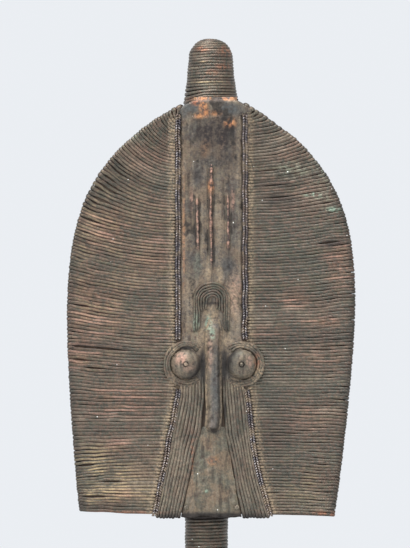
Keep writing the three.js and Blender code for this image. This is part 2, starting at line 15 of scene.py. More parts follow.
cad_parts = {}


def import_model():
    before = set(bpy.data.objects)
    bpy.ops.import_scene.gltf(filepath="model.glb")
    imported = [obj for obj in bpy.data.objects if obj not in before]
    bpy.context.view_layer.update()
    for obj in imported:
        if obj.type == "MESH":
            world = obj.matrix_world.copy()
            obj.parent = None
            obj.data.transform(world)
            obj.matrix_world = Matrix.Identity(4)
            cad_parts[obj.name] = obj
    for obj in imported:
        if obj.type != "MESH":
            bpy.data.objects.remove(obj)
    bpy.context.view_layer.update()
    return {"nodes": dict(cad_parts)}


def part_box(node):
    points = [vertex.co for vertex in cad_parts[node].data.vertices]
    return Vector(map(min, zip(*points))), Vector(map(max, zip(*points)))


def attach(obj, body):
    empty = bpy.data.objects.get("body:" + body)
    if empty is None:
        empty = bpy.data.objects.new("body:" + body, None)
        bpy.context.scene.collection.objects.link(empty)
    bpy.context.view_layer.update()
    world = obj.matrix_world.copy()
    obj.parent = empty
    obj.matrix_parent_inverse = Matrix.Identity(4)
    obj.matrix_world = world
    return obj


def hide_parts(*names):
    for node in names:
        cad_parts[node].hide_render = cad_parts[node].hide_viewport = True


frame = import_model()

MM = 0.001

# Sizes of the figure, the same as in the part's source

GAP = 0.35
WIRE = 2.1
SHEET = 0.8

BOARD = Sizes(
    chin=105, height=288, half=99, round_from=99.85, apex=296.2, roundness=4.25,
    taper=11.9, taper_from=150, taper_power=1.6, lean=math.radians(1.15), offset=0.35,
    edge=4.5, middle=13,
)
DISH = Sizes(depth=10, chin=8, crown=6, side=7, lowest=250)
SPINE = Sizes(centre=3, foot=16, crest=9, chin=13.2, waist=9, crown=21)
BAND = Sizes(centre=3.5, left=-19.95, right=26.95, rise=2.5, margin=2, shoulder=5)
JAW_LEFT = Sizes(top=187, slope=0.195)
JAW_RIGHT = Sizes(top=190, step=3, step_top=200, step_height=24, spread=14.5, height=85)
ON_BAND = BAND.rise + GAP
BRAID = Sizes(radius=1.9, top=384.5, eye_top=226.5, eye_bottom=192, bottom=103.5)
CHEEK_LEFT = Sizes(
    side=-1, inner_top=275, outer_top=280, lag=0.028, lag_full=0.15, lag_fades=0.72, lag_over=0.82,
    count=127, lower_pitch=2.3, upper_pitch=2.03, spare=2,
)
CHEEK_RIGHT = Sizes(
    side=1, inner_top=281, outer_top=284, rise=6, rises_from=60, rise_full=190, rise_fades=240,
    count=134, lower_pitch=2.1, upper_pitch=2.08, spare=1,
)
FOLD = Sizes(length=14, share=0.4)
NECK = Sizes(radius=15.4, pitch=2.3, collar=0.6)
TOPKNOT = Sizes(x=3, y=3, foot=394, pitch=2.2, lean=0.08)
TOPKNOT_PROFILE = [
    (0.4, 19.7), (5.8, 18.6), (11.4, 17.6), (17, 16.7), (22.6, 16.4), (28.2, 16.1), (33.8, 15.3), (38, 13.4),
    (41, 11), (43, 8.2), (44, 4.5), (44.3, 0),
]
FOREHEAD = Sizes(bottom=222, top=391, rim=1.6)
EYE = Sizes(z=209.3, radius=10.2, rim=2.2, height=8.2, pit=2.3, pit_depth=1)
EYE_X = {"left": -14.35, "right": 24.6}
# Which way the painted shade on each eye dome falls, as a direction across the face
EYE_PAINTED_SHADE_SIDE = {"left": (0.85, -0.53), "right": (-0.88, 0.3)}
NOSE = Sizes(x=4.9, half=5.85, bottom=162.2, top=241, tip=11.5, crest=10.5, root=7)
HOOD = Sizes(x=3.6, half=12.9, crown=267.3, foot=231.8)
CHIN = Sizes(centre=3.4, half=20.6, tip_centre=4.3, tip_half=9.2, top=161.6, bulge=1.2)
JAW = Sizes(wires=8, bottom=103.2)

# Small tools


def smooth(low, high, value):
    share = np.clip((value - low) / (high - low), 0, 1)
    return share * share * (3 - 2 * share)


def blend(a, b, share):
    return a + (b - a) * share


def ripple(places, size, seed, waves=14):
    """A smooth, uneven field from about -1 to 1 over an array of places. size is the distance of its swells."""
    rng = np.random.default_rng(seed)
    directions = rng.normal(size=(waves, places.shape[-1]))
    directions /= np.linalg.norm(directions, axis=1)[:, None]
    lengths = size * rng.uniform(0.6, 1.9, waves)
    phases = rng.uniform(0, 2 * math.pi, waves)
    turns = places @ (directions * (2 * math.pi / lengths)[:, None]).T + phases
    return np.sin(turns).sum(axis=-1) / math.sqrt(waves)


def coordinates(mesh):
    flat = np.empty(len(mesh.vertices) * 3)
    mesh.vertices.foreach_get("co", flat)
    return flat.reshape(-1, 3)


def move_to(mesh, places):
    mesh.vertices.foreach_set("co", places.ravel())
    mesh.update()


def put(mesh, name, values):
    """Keeps one number for each vertex under a name that the finishes read."""
    layer = mesh.attributes.get(name) or mesh.attributes.new(name, "FLOAT", "POINT")
    layer.data.foreach_set("value", np.asarray(values, float).ravel())


def put_vectors(mesh, name, values):
    layer = mesh.attributes.new(name, "FLOAT_VECTOR", "POINT")
    layer.data.foreach_set("vector", np.asarray(values, float).ravel())


def mesh_from(bm, name):
    mesh = bpy.data.meshes.new(name)
    bm.to_mesh(mesh)
    bm.free()
    return mesh


# The face board, as in the part's source


def half_width(up):
    crown = np.maximum(0, (up - BOARD.round_from) / (BOARD.apex - BOARD.round_from))
    sink = np.maximum(0, 1 - up / BOARD.taper_from)
    return BOARD.half * (1 - crown ** BOARD.roundness) - BOARD.taper * sink ** BOARD.taper_power


def on_board(across, up):
    """A place given across the board and up it, which leans a little, as x and z."""
    sin = math.sin(BOARD.lean)
    cos = math.cos(BOARD.lean)
    return BOARD.offset + across * cos + up * sin, BOARD.chin - across * sin + up * cos


def edge_place(side, up):
    """Where the board's edge is at heights up the board, and the direction that points out of it."""
    step = 0.05
    x, z = on_board(side * half_width(up), up)
    above_x, above_z = on_board(side * half_width(up + step), up + step)
    length = np.hypot(above_x - x, above_z - z)
    out_x = side * (above_z - z) / length
    out_z = -side * (above_x - x) / length
    return x, z, out_x, out_z


def edge_height(side, top, share):
    """The height up the board at a share of its edge's length below top."""
    up = np.linspace(0, top, 600)
    x, z, _, _ = edge_place(side, up)
    lengths = np.concatenate([[0], np.cumsum(np.hypot(np.diff(x), np.diff(z)))])
    return np.interp(np.asarray(share) * lengths[-1], lengths, up)


def dish(x, z):
    """How far back the hollow front of the face lies."""
    above = (z - DISH.lowest) / (BOARD.chin + BOARD.height - DISH.lowest)
    below = (z - DISH.lowest) / (BOARD.chin - DISH.lowest)
    curl = np.where(above > 0, DISH.crown * above ** 2, DISH.chin * below ** 2)
    return -DISH.depth - curl - DISH.side * ((x - BAND.centre) / BOARD.half) ** 2


def band_edge(side, z):
    """The middle line of the braid on one side, an edge of the raised band."""
    if side < 0:
        return BAND.left - JAW_LEFT.slope * np.maximum(0, JAW_LEFT.top - z)
    step = JAW_RIGHT.step * smooth(0, JAW_RIGHT.step_height, JAW_RIGHT.step_top - z)
    spread = np.maximum(0, (JAW_RIGHT.top - z) / JAW_RIGHT.height) ** 2
    return BAND.right + step + JAW_RIGHT.spread * spread


def front(x, z):
    """The wood's front, with the raised band and its sloping shoulders."""
    past_left = band_edge(-1, z) - x - BAND.margin
    past_right = x - band_edge(1, z) - BAND.margin
    past = np.where(x < BAND.centre, past_left, past_right)
    return dish(x, z) - BAND.rise * (1 - np.clip(past / BAND.shoulder, 0, 1))


def back(x, z):
    """The wood's back: thin at the rim, thicker inwards, with a ridge down the middle."""
    away = np.abs(x - SPINE.centre)
    inner = np.maximum(0, 1 - away / BOARD.half)
    plain = dish(x, z) + BOARD.edge + (BOARD.middle - BOARD.edge) * inner
    up = (z - BOARD.chin) / BOARD.height
    sway = SPINE.chin * (1 - up) ** 2 + SPINE.crown * up ** 2 + 2 * SPINE.waist * up * (1 - up)
    ridge = 1 - np.clip((away - SPINE.crest) / (SPINE.foot - SPINE.crest), 0, 1)
    return plain + np.maximum(0, sway - plain) * ridge


# Marks of age, painted shade and painted highlights, as soft patches on the face: x, z, half-width, half-height,
# amount

MARKS = {}
# Copper tint on the wires and sheet, and painted highlights: the patches on the eye domes and down the left side of
# the nose
MARKS["copper"] = [
    (-71, 305, 18, 16, 0.7), (-40, 295, 18, 30, 0.4), (-80, 240, 20, 34, 0.75), (-90, 215, 14, 9, 0.9),
    (-60, 184, 26, 12, 0.8), (-61, 153, 10, 7, 0.6), (-58, 117, 10, 6, 0.7), (-40, 352, 16, 12, 0.35),
    (95, 280, 12, 16, 0.8), (62, 254, 10, 6, 0.8), (82, 239, 16, 3, 0.8), (60, 340, 22, 28, 0.25),
    (84, 215, 17, 9, 0.4), (70, 175, 22, 12, 0.3), (40, 230, 16, 6, 0.35), (-35, 240, 14, 18, 0.3),
    (-18, 213.5, 4, 5, 0.8), (30, 211, 2, 4, 0.6), (2.2, 218, 2, 14, 0.5), (-12, 207, 5, 3, 0.4),
    (20, 258, 5, 14, 0.5), (-10.3, 325, 1.4, 8, 0.7), (18.2, 324, 1.6, 8, 0.6),
]
# Gold: golden painted highlights on the tops of the wires, partly worn metal, brightest at the lower left and on
# the topknot's turns
MARKS["gold_wear_and_highlight"] = [
    (-75, 128, 28, 16, 1.0), (-80, 140, 18, 12, 0.7), (-55, 118, 22, 7, 0.6), (-70, 290, 34, 66, 0.25),
    (70, 130, 28, 18, 0.25), (-88, 300, 12, 34, 0.3), (2, 421.5, 6, 1.2, 1.0), (2, 407, 10, 1.2, 0.8),
]
MARKS["verdigris"] = [
    (73, 328, 6, 1.6, 0.9), (88, 317.5, 6, 1.8, 0.9), (80, 326, 5, 3, 0.4), (60, 345, 14, 6, 0.25),
    (84, 345, 12, 14, 0.2), (-60, 370, 16, 9, 0.2), (1.4, 236.8, 2.4, 6, 1.0), (3.8, 230.5, 2, 3.6, 0.9),
    (-7.3, 238, 2.4, 7, 0.5), (0, 120.5, 1, 1.2, 1.0), (-6.2, 278, 3, 9, 0.15),
]
# Painted shade and soot: dark patches painted where shade falls, in the gaps beside the nose and eyes, at the top
# and foot of the eye domes, under the nose tip, hood and chin, and along the bottom edge, with a few soot patches
# on the cheeks
MARKS["painted_shade_and_soot"] = [
    (-80, 222, 24, 4, 0.6), (88, 294, 9, 3, 0.8), (52, 324, 16, 6, 0.7), (48, 335, 14, 3, 0.5),
    (40, 360, 12, 14, 0.3), (-66, 345, 16, 16, 0.4), (50, 160, 12, 34, 0.3), (-2.6, 208.5, 2.4, 13, 1.2),
    (12.6, 207.5, 2.3, 14, 1.2), (-2.4, 171.6, 1, 9, 1.2), (12.9, 177, 1, 9, 1.1), (5.2, 163, 4, 2, 0.9),
    (-14.3, 220.6, 5.5, 1, 1.3), (33, 217, 3.4, 3, 0.7), (22, 197.5, 9, 1.6, 0.6), (3, 103, 46, 3.2, 1.3),
    (4, 252, 8, 1, 0.7), (14.3, 234.5, 1, 7, 0.7), (-6.4, 203.5, 2.6, 7, 0.6), (-11, 200.5, 6, 1.6, 0.5),
    (16.2, 207, 2.4, 9, 0.6), (-60, 104, 30, 1.2, 0.7), (70, 104, 30, 1.2, 0.5),
]
MARKS["dust"] = [
    (-45, 130, 16, 34, 0.5), (-60, 330, 22, 22, 0.3), (38, 350, 14, 46, 0.3), (60, 200, 34, 22, 0.25),
    (75, 260, 34, 34, 0.2), (1.2, 274, 1.8, 13, 1.0), (9.4, 272, 2.2, 9, 1.0), (-3, 300, 2, 34, 0.45),
    (9, 305, 3, 34, 0.5), (19, 250, 7, 22, 0.7), (-12, 255, 6, 22, 0.6), (-2, 325, 3, 16, 0.3),
    (23, 340, 2, 60, 0.5), (-17, 320, 1.8, 66, 0.6), (-2, 228, 6, 10, 1.0), (13, 226, 6, 10, 1.0),
    (3, 245.5, 5.5, 5, 1.2), (-18, 196, 12, 8, 0.8), (26, 194, 12, 6, 0.8), (-21, 145, 8, 36, 0.45),
    (27, 145, 8, 36, 0.25),
]
MARKS["rust"] = [
    (-7.3, 391.8, 3.4, 1.8, 1.1), (-2.4, 389.3, 3, 4, 1.1), (-0.4, 385, 2.2, 2.8, 1.1), (-5, 383, 3.4, 2, 0.9),
    (6.6, 385, 4, 2, 0.8), (16.5, 378, 3.8, 3.6, 1.0), (3.15, 333.6, 1.9, 4.6, 1.2), (6.6, 395, 19, 1.5, 0.9),
    (35.3, 211.5, 2, 5.5, 1.2), (-1, 360, 3, 6, 0.12), (11, 364, 2, 5, 0.1), (-64, 105.4, 34, 1.5, 0.9),
    (84, 104.5, 12, 2.4, 0.9), (-3, 430.5, 4, 2, 0.8), (13.6, 429.5, 5, 4, 0.7), (11.5, 418, 4.5, 2, 0.8),
    (3.8, 413, 4.5, 2.6, 0.7), (4, 142, 4, 3, 0.5), (-10, 146, 1, 16, 0.6), (-16, 302, 1, 40, 0.5),
]
MARKS["shadow"] = [
    (7, 370.5, 17, 13, 1.1), (-1, 356, 9, 9, 0.7), (13, 356, 9, 12, 0.8), (-6.2, 341.5, 3.4, 7, 0.9),
    (17, 322, 3, 20, 0.3), (-12, 330, 3, 26, 0.3), (15.4, 279, 6, 8, 0.5), (-8.5, 277, 5, 8, 0.35),
    (3.2, 346, 1.3, 8, 1.0), (3.5, 314, 0.8, 12, 1.3), (4.3, 296, 0.8, 22, 1.3), (15.4, 309, 0.8, 24, 1.3),
    (-7.9, 303, 0.6, 20, 1.1), (-5, 303, 0.6, 20, 0.9), (24.2, 384, 0.8, 5, 1.2), (24.4, 366, 0.7, 4, 1.2),
]
MARKS["crust"] = [
    (72, 262, 44, 60, 0.8), (70, 170, 40, 40, 0.5), (-74, 268, 16, 20, 0.8), (-42, 270, 14, 46, 0.5),
    (-70, 175, 20, 14, 0.5), (-60, 330, 16, 16, 0.4),
]
MARKS["blue"] = [
    (16, 387.5, 9, 4.6, 1.1), (-12, 388.5, 9, 4, 1.0), (-17, 385, 6, 5, 0.8), (-6.5, 341, 3.4, 8, 0.6),
    (7, 190, 4, 24, 0.6), (-8, 281, 5, 8, 0.4), (5, 171, 5, 8, 0.5), (15, 279, 5, 7, 0.6),
]


def patches(x, z, marks):
    """How much of a mark each place has."""
    amount = np.zeros_like(x)
    for mark_x, mark_z, half_x, half_z, most in marks:
        distance = ((x - mark_x) / half_x) ** 2 + ((z - mark_z) / half_z) ** 2
        amount = np.maximum(amount, np.minimum(most * np.exp(-distance ** 1.5), 1))
    return amount


# Finishes


class Finish:
    """A procedural finish, built node by node."""

    def __init__(self, name):
        self.material = bpy.data.materials.new(name)
        self.material.use_nodes = True
        self.tree = self.material.node_tree
        self.shader = self.tree.nodes["Principled BSDF"]
        self.place = self.node("ShaderNodeTexCoord").outputs["Object"]

    def node(self, kind, **settings):
        made = self.tree.nodes.new(kind)
        for name, value in settings.items():
            setattr(made, name, value)
        return made

    def feed(self, socket, value):
        if isinstance(value, bpy.types.NodeSocket):
            self.tree.links.new(value, socket)
        elif isinstance(value, tuple) and len(value) == 3 and socket.type == "RGBA":
            socket.default_value = (*value, 1)
        else:
            socket.default_value = value

    def attribute(self, name, output="Fac"):
        return self.node("ShaderNodeAttribute", attribute_name=name).outputs[output]

    def stretched(self, vector, scale):
        made = self.node("ShaderNodeMapping")
        self.feed(made.inputs["Vector"], vector)
        made.inputs["Scale"].default_value = scale
        return made.outputs["Vector"]

    def noise(self, size, detail=3, rough=0.55, vector=None, stretch=None, distort=0):
        """Cloudy noise whose blotches are about size millimetres across, from 0 to 1."""
        source = self.place if vector is None else vector
        if stretch:
            source = self.stretched(source, stretch)
        made = self.node("ShaderNodeTexNoise")
        self.feed(made.inputs["Vector"], source)
        made.inputs["Scale"].default_value = 1 / (size * MM)
        made.inputs["Detail"].default_value = detail
        made.inputs["Roughness"].default_value = rough
        made.inputs["Distortion"].default_value = distort
        return made.outputs["Fac"]

    def cells(self, size, feature="F1"):
        made = self.node("ShaderNodeTexVoronoi", feature=feature)
        self.feed(made.inputs["Vector"], self.place)
        made.inputs["Scale"].default_value = 1 / (size * MM)
        return made.outputs["Distance"]

    def white_specks(self):
        """A few white specks, less than a millimetre across."""
        return self.span(self.cells(13), 0.034, 0.024)

    def math(self, operation, a, b=0.0, clamp=False):
        made = self.node("ShaderNodeMath", operation=operation, use_clamp=clamp)
        self.feed(made.inputs[0], a)
        self.feed(made.inputs[1], b)
        return made.outputs[0]

    def times(self, a, b):
        return self.math("MULTIPLY", a, b)

    def plus(self, a, b):
        return self.math("ADD", a, b)

    def span(self, value, low, high, to_low=0.0, to_high=1.0):
        """Value's place between low and high, softly, as a number from to_low to to_high."""
        made = self.node("ShaderNodeMapRange", interpolation_type="SMOOTHSTEP")
        self.feed(made.inputs["Value"], value)
        made.inputs["From Min"].default_value = low
        made.inputs["From Max"].default_value = high
        made.inputs["To Min"].default_value = to_low
        made.inputs["To Max"].default_value = to_high
        return made.outputs["Result"]

    def mix(self, share, a, b):
        made = self.node("ShaderNodeMix", data_type="RGBA")
        self.feed(made.inputs["Factor"], share)
        self.feed(made.inputs[6], a)
        self.feed(made.inputs[7], b)
        return made.outputs[2]

    def shade(self, colour, amount):
        """Colour made darker or lighter by a number."""
        made = self.node("ShaderNodeVectorMath", operation="SCALE")
        self.feed(made.inputs[0], colour)
        self.feed(made.inputs["Scale"], amount)
        return made.outputs["Vector"]

    def bump(self, height, depth, onto=None):
        """Bump from a height, depth millimetres from its lowest to its highest."""
        made = self.node("ShaderNodeBump")
        made.inputs["Strength"].default_value = 1
        made.inputs["Distance"].default_value = depth * MM
        self.feed(made.inputs["Height"], height)
        if onto:
            self.feed(made.inputs["Normal"], onto)
        return made.outputs["Normal"]

    def surface(self, colour, roughness, metallic, normal):
        self.feed(self.shader.inputs["Base Color"], colour)
        self.feed(self.shader.inputs["Roughness"], roughness)
        self.feed(self.shader.inputs["Metallic"], metallic)
        self.feed(self.shader.inputs["Normal"], normal)
        return self.material


DARK = (0.02, 0.017, 0.016)
BROWN = (0.098, 0.066, 0.05)
GREY = (0.06, 0.063, 0.051)
OLIVE = (0.082, 0.082, 0.052)
PALE = (0.18, 0.155, 0.118)
OX_RED = (0.085, 0.036, 0.028)
BARE_COPPER = (0.27, 0.12, 0.07)
PINK_COPPER = (0.42, 0.24, 0.18)
GOLD_WEAR_HIGHLIGHT = (0.5, 0.37, 0.2)
DUST = (0.26, 0.195, 0.125)
VERDIGRIS = (0.22, 0.31, 0.235)
ORANGE_RUST = (0.42, 0.19, 0.08)
RED_RUST = (0.21, 0.075, 0.045)
BLUE_GREY = (0.07, 0.078, 0.08)
WHITE_SPECK = (0.75, 0.74, 0.7)


def wire_finish(name, dusty=1.0):
    """Old wire: brown-grey patina that differs from wire to wire, copper tints, and dust in the grooves, with
    painted highlights along the wires' tops and painted shade in the grooves between them.
    """
    f = Finish(name)
    along = f.attribute("along", "Vector")
    tone = f.attribute("tone")
    crest = f.attribute("crest")
    copper = f.attribute("copper")
    gold_wear_and_highlight = f.attribute("gold_wear_and_highlight")
    streak = f.noise(7, detail=4, vector=along, stretch=(0.5, 1, 1))
    long_streak = f.noise(16, detail=3, vector=along, stretch=(0.4, 1.6, 0))
    speck = f.noise(1, detail=3, rough=0.75)
    mottle = f.noise(3.2, detail=4, rough=0.65)
    cloud = f.noise(24, detail=3)
    freckles = f.noise(1.5, detail=2, rough=0.6)
    # Crust lies over some of the wires and hides their lines
    crust = f.plus(f.noise(17, detail=4, rough=0.6), f.times(f.attribute("crust"), 0.14))
    line = f.span(crust, 0.46, 0.62, 1, 0.15)
    hue = f.plus(f.times(f.plus(cloud, mottle), 0.25), f.times(freckles, 0.5))
    patina = f.mix(f.span(hue, 0.42, 0.58), GREY, BROWN)
    patina = f.mix(f.times(f.span(streak, 0.5, 0.7), 0.5), patina, OLIVE)
    patina = f.mix(f.times(f.times(f.span(tone, 0.45, 1), 0.55), line), patina, PALE)
    patina = f.mix(f.times(f.span(tone, 0.45, 0), 0.35), patina, DARK)
    patina = f.mix(f.times(f.span(streak, 0.46, 0.3), 0.3), patina, DARK)
    tinge = f.times(copper, f.span(mottle, 0.35, 0.65, 0.05, 0.3))
    patina = f.mix(tinge, patina, BARE_COPPER)
    rusty = f.times(f.attribute("rust"), f.span(mottle, 0.4, 0.55))
    patina = f.mix(rusty, patina, f.mix(f.span(speck, 0.35, 0.6), RED_RUST, BARE_COPPER))
    green = f.times(f.attribute("verdigris"), f.span(mottle, 0.42, 0.58))
    patina = f.mix(green, patina, VERDIGRIS)
    # Painted highlights along the tops of the wires, partly worn metal: pink in streaks where the copper marks lie,
    # golden where the gold marks lie
    top = f.span(crest, 0.86, 0.99)
    rubbed_highlight_streak = f.span(f.plus(long_streak, f.times(tone, 0.16)), 0.57, 0.64)
    copper_highlight = f.times(f.times(top, copper), rubbed_highlight_streak)
    patina = f.mix(copper_highlight, patina, PINK_COPPER)
    # Golden painted highlight on the crests, partly worn metal
    worn = f.times(f.times(f.times(top, line), f.plus(gold_wear_and_highlight, 0.05)), f.span(streak, 0.35, 0.6, 0.35, 1))
    patina = f.mix(worn, patina, GOLD_WEAR_HIGHLIGHT)
    # Grooves: painted shade between the wires, black, with ox-blood red oxide in some; faint where crust fills
    # them, strongest where the wires are clean
    low = f.span(crest, 0.92, 0.7)
    clean = f.math("MAXIMUM", f.math("MAXIMUM", copper, gold_wear_and_highlight), f.span(long_streak, 0.48, 0.38))
    redder = f.span(f.plus(streak, f.times(tone, 0.2)), 0.52, 0.66)
    groove = f.times(f.times(low, line), f.span(clean, 0, 1, 0.45, 0.95))
    patina = f.mix(groove, patina, f.mix(redder, DARK, OX_RED))
    grains = f.span(f.noise(1.6, detail=4, rough=0.7), 0.3, 0.62)
    dust = f.times(f.attribute("dust"), f.times(grains, dusty))
    dusted = f.times(f.math("MAXIMUM", low, f.span(dust, 0.2, 0.9, 0.35, 0.9)), dust)
    colour = f.mix(f.math("MINIMUM", dusted, 1.0), patina, DUST)
    # Painted shade and soot darken the colour towards black
    colour = f.mix(f.times(f.attribute("painted_shade_and_soot"), 0.9), colour, DARK)
    colour = f.shade(colour, f.times(f.span(speck, 0.3, 0.7, 0.74, 1.26), f.span(mottle, 0.3, 0.7, 0.82, 1.18)))
    colour = f.mix(f.white_specks(), colour, WHITE_SPECK)
    roughness = f.plus(f.span(dusted, 0, 0.6, 0.42, 0.9), f.span(streak, 0.3, 0.7, -0.06, 0.1))
    metallic = f.span(dusted, 0, 0.5, 0.55, 0)
    pitted = f.bump(speck, 0.12)
    return f.surface(colour, roughness, metallic, f.bump(mottle, 0.3, pitted))


# Wires: straight closed tubes, laid along their paths

HAMMERED = 0.75
OVERLAP = 1.1


def straight_wires(name, count, rings, sides):
    """Count closed straight wires on one axis, a unit thick, with a ring of vertices at each whole height."""
    bm = bmesh.new()
    bmesh.ops.create_grid(bm, x_segments=rings - 1, y_segments=sides, size=0.5)
    for vert in bm.verts:
        turn = 2 * math.pi * (vert.co.y + 0.5)
        ring = round((vert.co.x + 0.5) * (rings - 1))
        vert.co = (math.cos(turn), math.sin(turn), ring)
    bmesh.ops.remove_doubles(bm, verts=bm.verts, dist=1e-4)
    bmesh.ops.holes_fill(bm, edges=bm.edges, sides=sides)
    bmesh.ops.recalc_face_normals(bm, faces=bm.faces)
    one = mesh_from(bm, name + "_one")
    bm = bmesh.new()
    for _ in range(count):
        bm.from_mesh(one)
    bpy.data.meshes.remove(one)
    return mesh_from(bm, name)


def unit(vectors):
    return vectors / np.maximum(np.linalg.norm(vectors, axis=-1, keepdims=True), 1e-9)


def lay_wires(name, paths, across, half_width, half_height, tones, sides=8, flatness=HAMMERED):
    """Wires swept along paths, an array of wires by points by 3. across points sideways over each wire's
    width at each point, or is None for wires that lie flat on the face, and half_width and half_height are
    its half sizes there."""
    count, rings, _ = paths.shape
    mesh = straight_wires(name, count, rings, sides)
    straight = coordinates(mesh).reshape(count, -1, 3)
    ring = np.rint(straight[..., 2]).astype(int)
    wire = np.arange(count)[:, None]
    run = unit(np.gradient(paths, axis=1))
    if across is None:
        across = np.stack([-run[..., 2], 0 * run[..., 0], run[..., 0]], -1)
    sideways = unit(across)
    upward = unit(np.cross(run, sideways))
    ends = np.minimum(np.arange(rings), np.arange(rings)[::-1])
    round_end = np.interp(ends, [0, 1, 2], [0.45, 0.85, 1])
    wide = (half_width * round_end)[wire, ring][..., None]
    high = (half_height * round_end)[wire, ring][..., None]
    places = paths[wire, ring]
    places = places + sideways[wire, ring] * wide * straight[..., :1]
    flattened = np.sign(straight[..., 1:2]) * np.abs(straight[..., 1:2]) ** flatness
    places = places + upward[wire, ring] * high * flattened
    steps = np.linalg.norm(np.diff(paths, axis=1), axis=-1)
    travelled = np.concatenate([np.zeros((count, 1)), np.cumsum(steps, axis=1)], axis=1)[wire, ring]
    move_to(mesh, places.reshape(-1, 3))
    put(mesh, "crest", 0.5 + 0.5 * straight[..., 1])
    put(mesh, "tone", tones[:, None] + 0 * straight[..., 0])
    offset = np.random.default_rng(count).uniform(0, 900, count)[:, None]
    put_vectors(mesh, "along", np.stack([travelled, offset + 0 * travelled, straight[..., 0]], -1) * MM)
    return mesh


def piece(name, mesh, material, nodes, dust=None):
    """A finished piece of the figure that stands for CAD nodes."""
    places = coordinates(mesh)
    add_marks(mesh, places[:, 0], places[:, 2])
    if dust is not None:
        put(mesh, "dust", dust)
    mesh.transform(Matrix.Scale(MM, 4))
    mesh.materials.append(material)
    mesh.polygons.foreach_set("use_smooth", [True] * len(mesh.polygons))
    made = bpy.data.objects.new(name, mesh)
    bpy.context.scene.collection.objects.link(made)
    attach(made, "root")
    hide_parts(*nodes)
    return made


def add_marks(mesh, x, z):
    amounts = {name: patches(x, z, marks) for name, marks in MARKS.items()}
    beside = np.maximum(band_edge(-1, z) - x, x - band_edge(1, z))
    by_braid = np.exp(-(((beside - 4) / 3.6) ** 2)) * smooth(BRAID.top + 4, BRAID.top - 6, z)
    amounts["dust"] = np.maximum(np.maximum(by_braid, amounts["dust"]), 0.12)
    # Painted shade near the board's rim below the crown, where the wires turn over it
    up = (z - BOARD.chin) / math.cos(BOARD.lean)
    middle, _ = on_board(0, up)
    inside = half_width(np.clip(up, 0, 235)) - np.abs(x - middle)
    amounts["painted_shade_and_soot"] = np.maximum(amounts["painted_shade_and_soot"], 0.5 * smooth(4.5, 0, inside) * smooth(250, 225, up))
    for name, amount in amounts.items():
        put(mesh, name, amount)


# The cheeks

# Slits where neighbouring wires have parted: x, z, length along the wires, width
SLITS_LEFT = [
    (-32.6, 380.2, 4, 1.1), (-36.8, 378.8, 4, 1), (-44.5, 371.1, 4, 1), (-63.7, 353.3, 8, 1.1),
    (-64.4, 347, 11, 1.1), (-70.4, 339.3, 13, 1.3), (-66.2, 335.4, 9, 1.1), (-68.3, 330.5, 10, 1.1),
    (-77.4, 331.9, 8, 1.1), (-80.2, 324.6, 9, 1.1), (-74.6, 324.6, 15, 1.2), (-80, 222, 40, 1),
    (-90, 214, 12, 1), (-52.9, 247.2, 5, 0.9), (-94, 180, 6, 1), (-92, 153, 6, 1),
    (-84, 312, 18, 0.8), (-88, 303, 14, 0.8), (-92, 285, 10, 0.8), (-88, 250, 10, 0.8), (-78, 206, 12, 0.8),
    (-86, 140, 14, 0.8), (-66, 128, 16, 0.7), (-80, 118, 18, 0.8),
]
SLITS_RIGHT = [
    (86.5, 294.1, 14, 1.2), (50, 326, 14, 0.8), (46, 334, 12, 0.8), (44, 344, 10, 0.7), (84, 322, 6, 1),
    (82, 120, 14, 0.7), (44, 120, 12, 0.7),
]
FRONT_STEPS = 34
RIM_STEPS = 8
BACK_STEPS = 4
SLIDE = 1.1
TUCKED = BRAID.radius - 0.7


def wire_shares(cheek, rng):
    """Where each wire of a cheek starts, as shares of the braid's length: laid by hand, a little uneven."""
    pitch = np.linspace(cheek.lower_pitch, cheek.upper_pitch, cheek.count)
    pitch = pitch * rng.uniform(0.93, 1.07, cheek.count)
    edges = np.concatenate([[0], np.cumsum(pitch)]) / pitch.sum()
    shares = (edges[1:] + edges[:-1]) / 2
    more = 1 + (np.arange(cheek.spare) + 0.5) * pitch[-1] / pitch.sum()
    return np.concatenate([shares, more])


def wire_ends(cheek, share):
    """How far up the board each wire meets the rim."""
    if cheek.side < 0:
        behind = cheek.lag * smooth(0, cheek.lag_full, share)
        behind = behind * (1 - smooth(cheek.lag_fades, cheek.lag_over, share))
        inside = edge_height(-1, cheek.outer_top, np.clip(share - behind, 0, 1))
        return inside + cheek.outer_top * np.maximum(0, share - 1)
    up = share * cheek.inner_top
    lift = cheek.rise * smooth(cheek.rises_from, cheek.rise_full, up)
    lift = lift * (1 - smooth(cheek.rise_fades, cheek.inner_top, up))
    return up + lift + (cheek.outer_top - cheek.inner_top) * share


def part_wires(x, z, slits):
    """How far slits push each wire up or down at each of its points."""
    count = len(z)
    push = np.zeros_like(z)
    for slit_x, slit_z, length, width in slits:
        there = [np.interp(slit_x, *sorted_pair(x[i], z[i])) for i in range(count)]
        between = np.interp(slit_z, there, np.arange(count))
        between = math.floor(between) + 0.5
        away = np.arange(count)[:, None] - between
        fade = np.exp(-(np.abs(away) - 0.5) / 1.6)
        bulge = np.exp(-(((x - slit_x) / (0.5 * length)) ** 4))
        push += np.sign(away) * 0.5 * width * fade * bulge
    return push


def sorted_pair(x, z):
    order = np.argsort(x)
    return x[order], z[order]


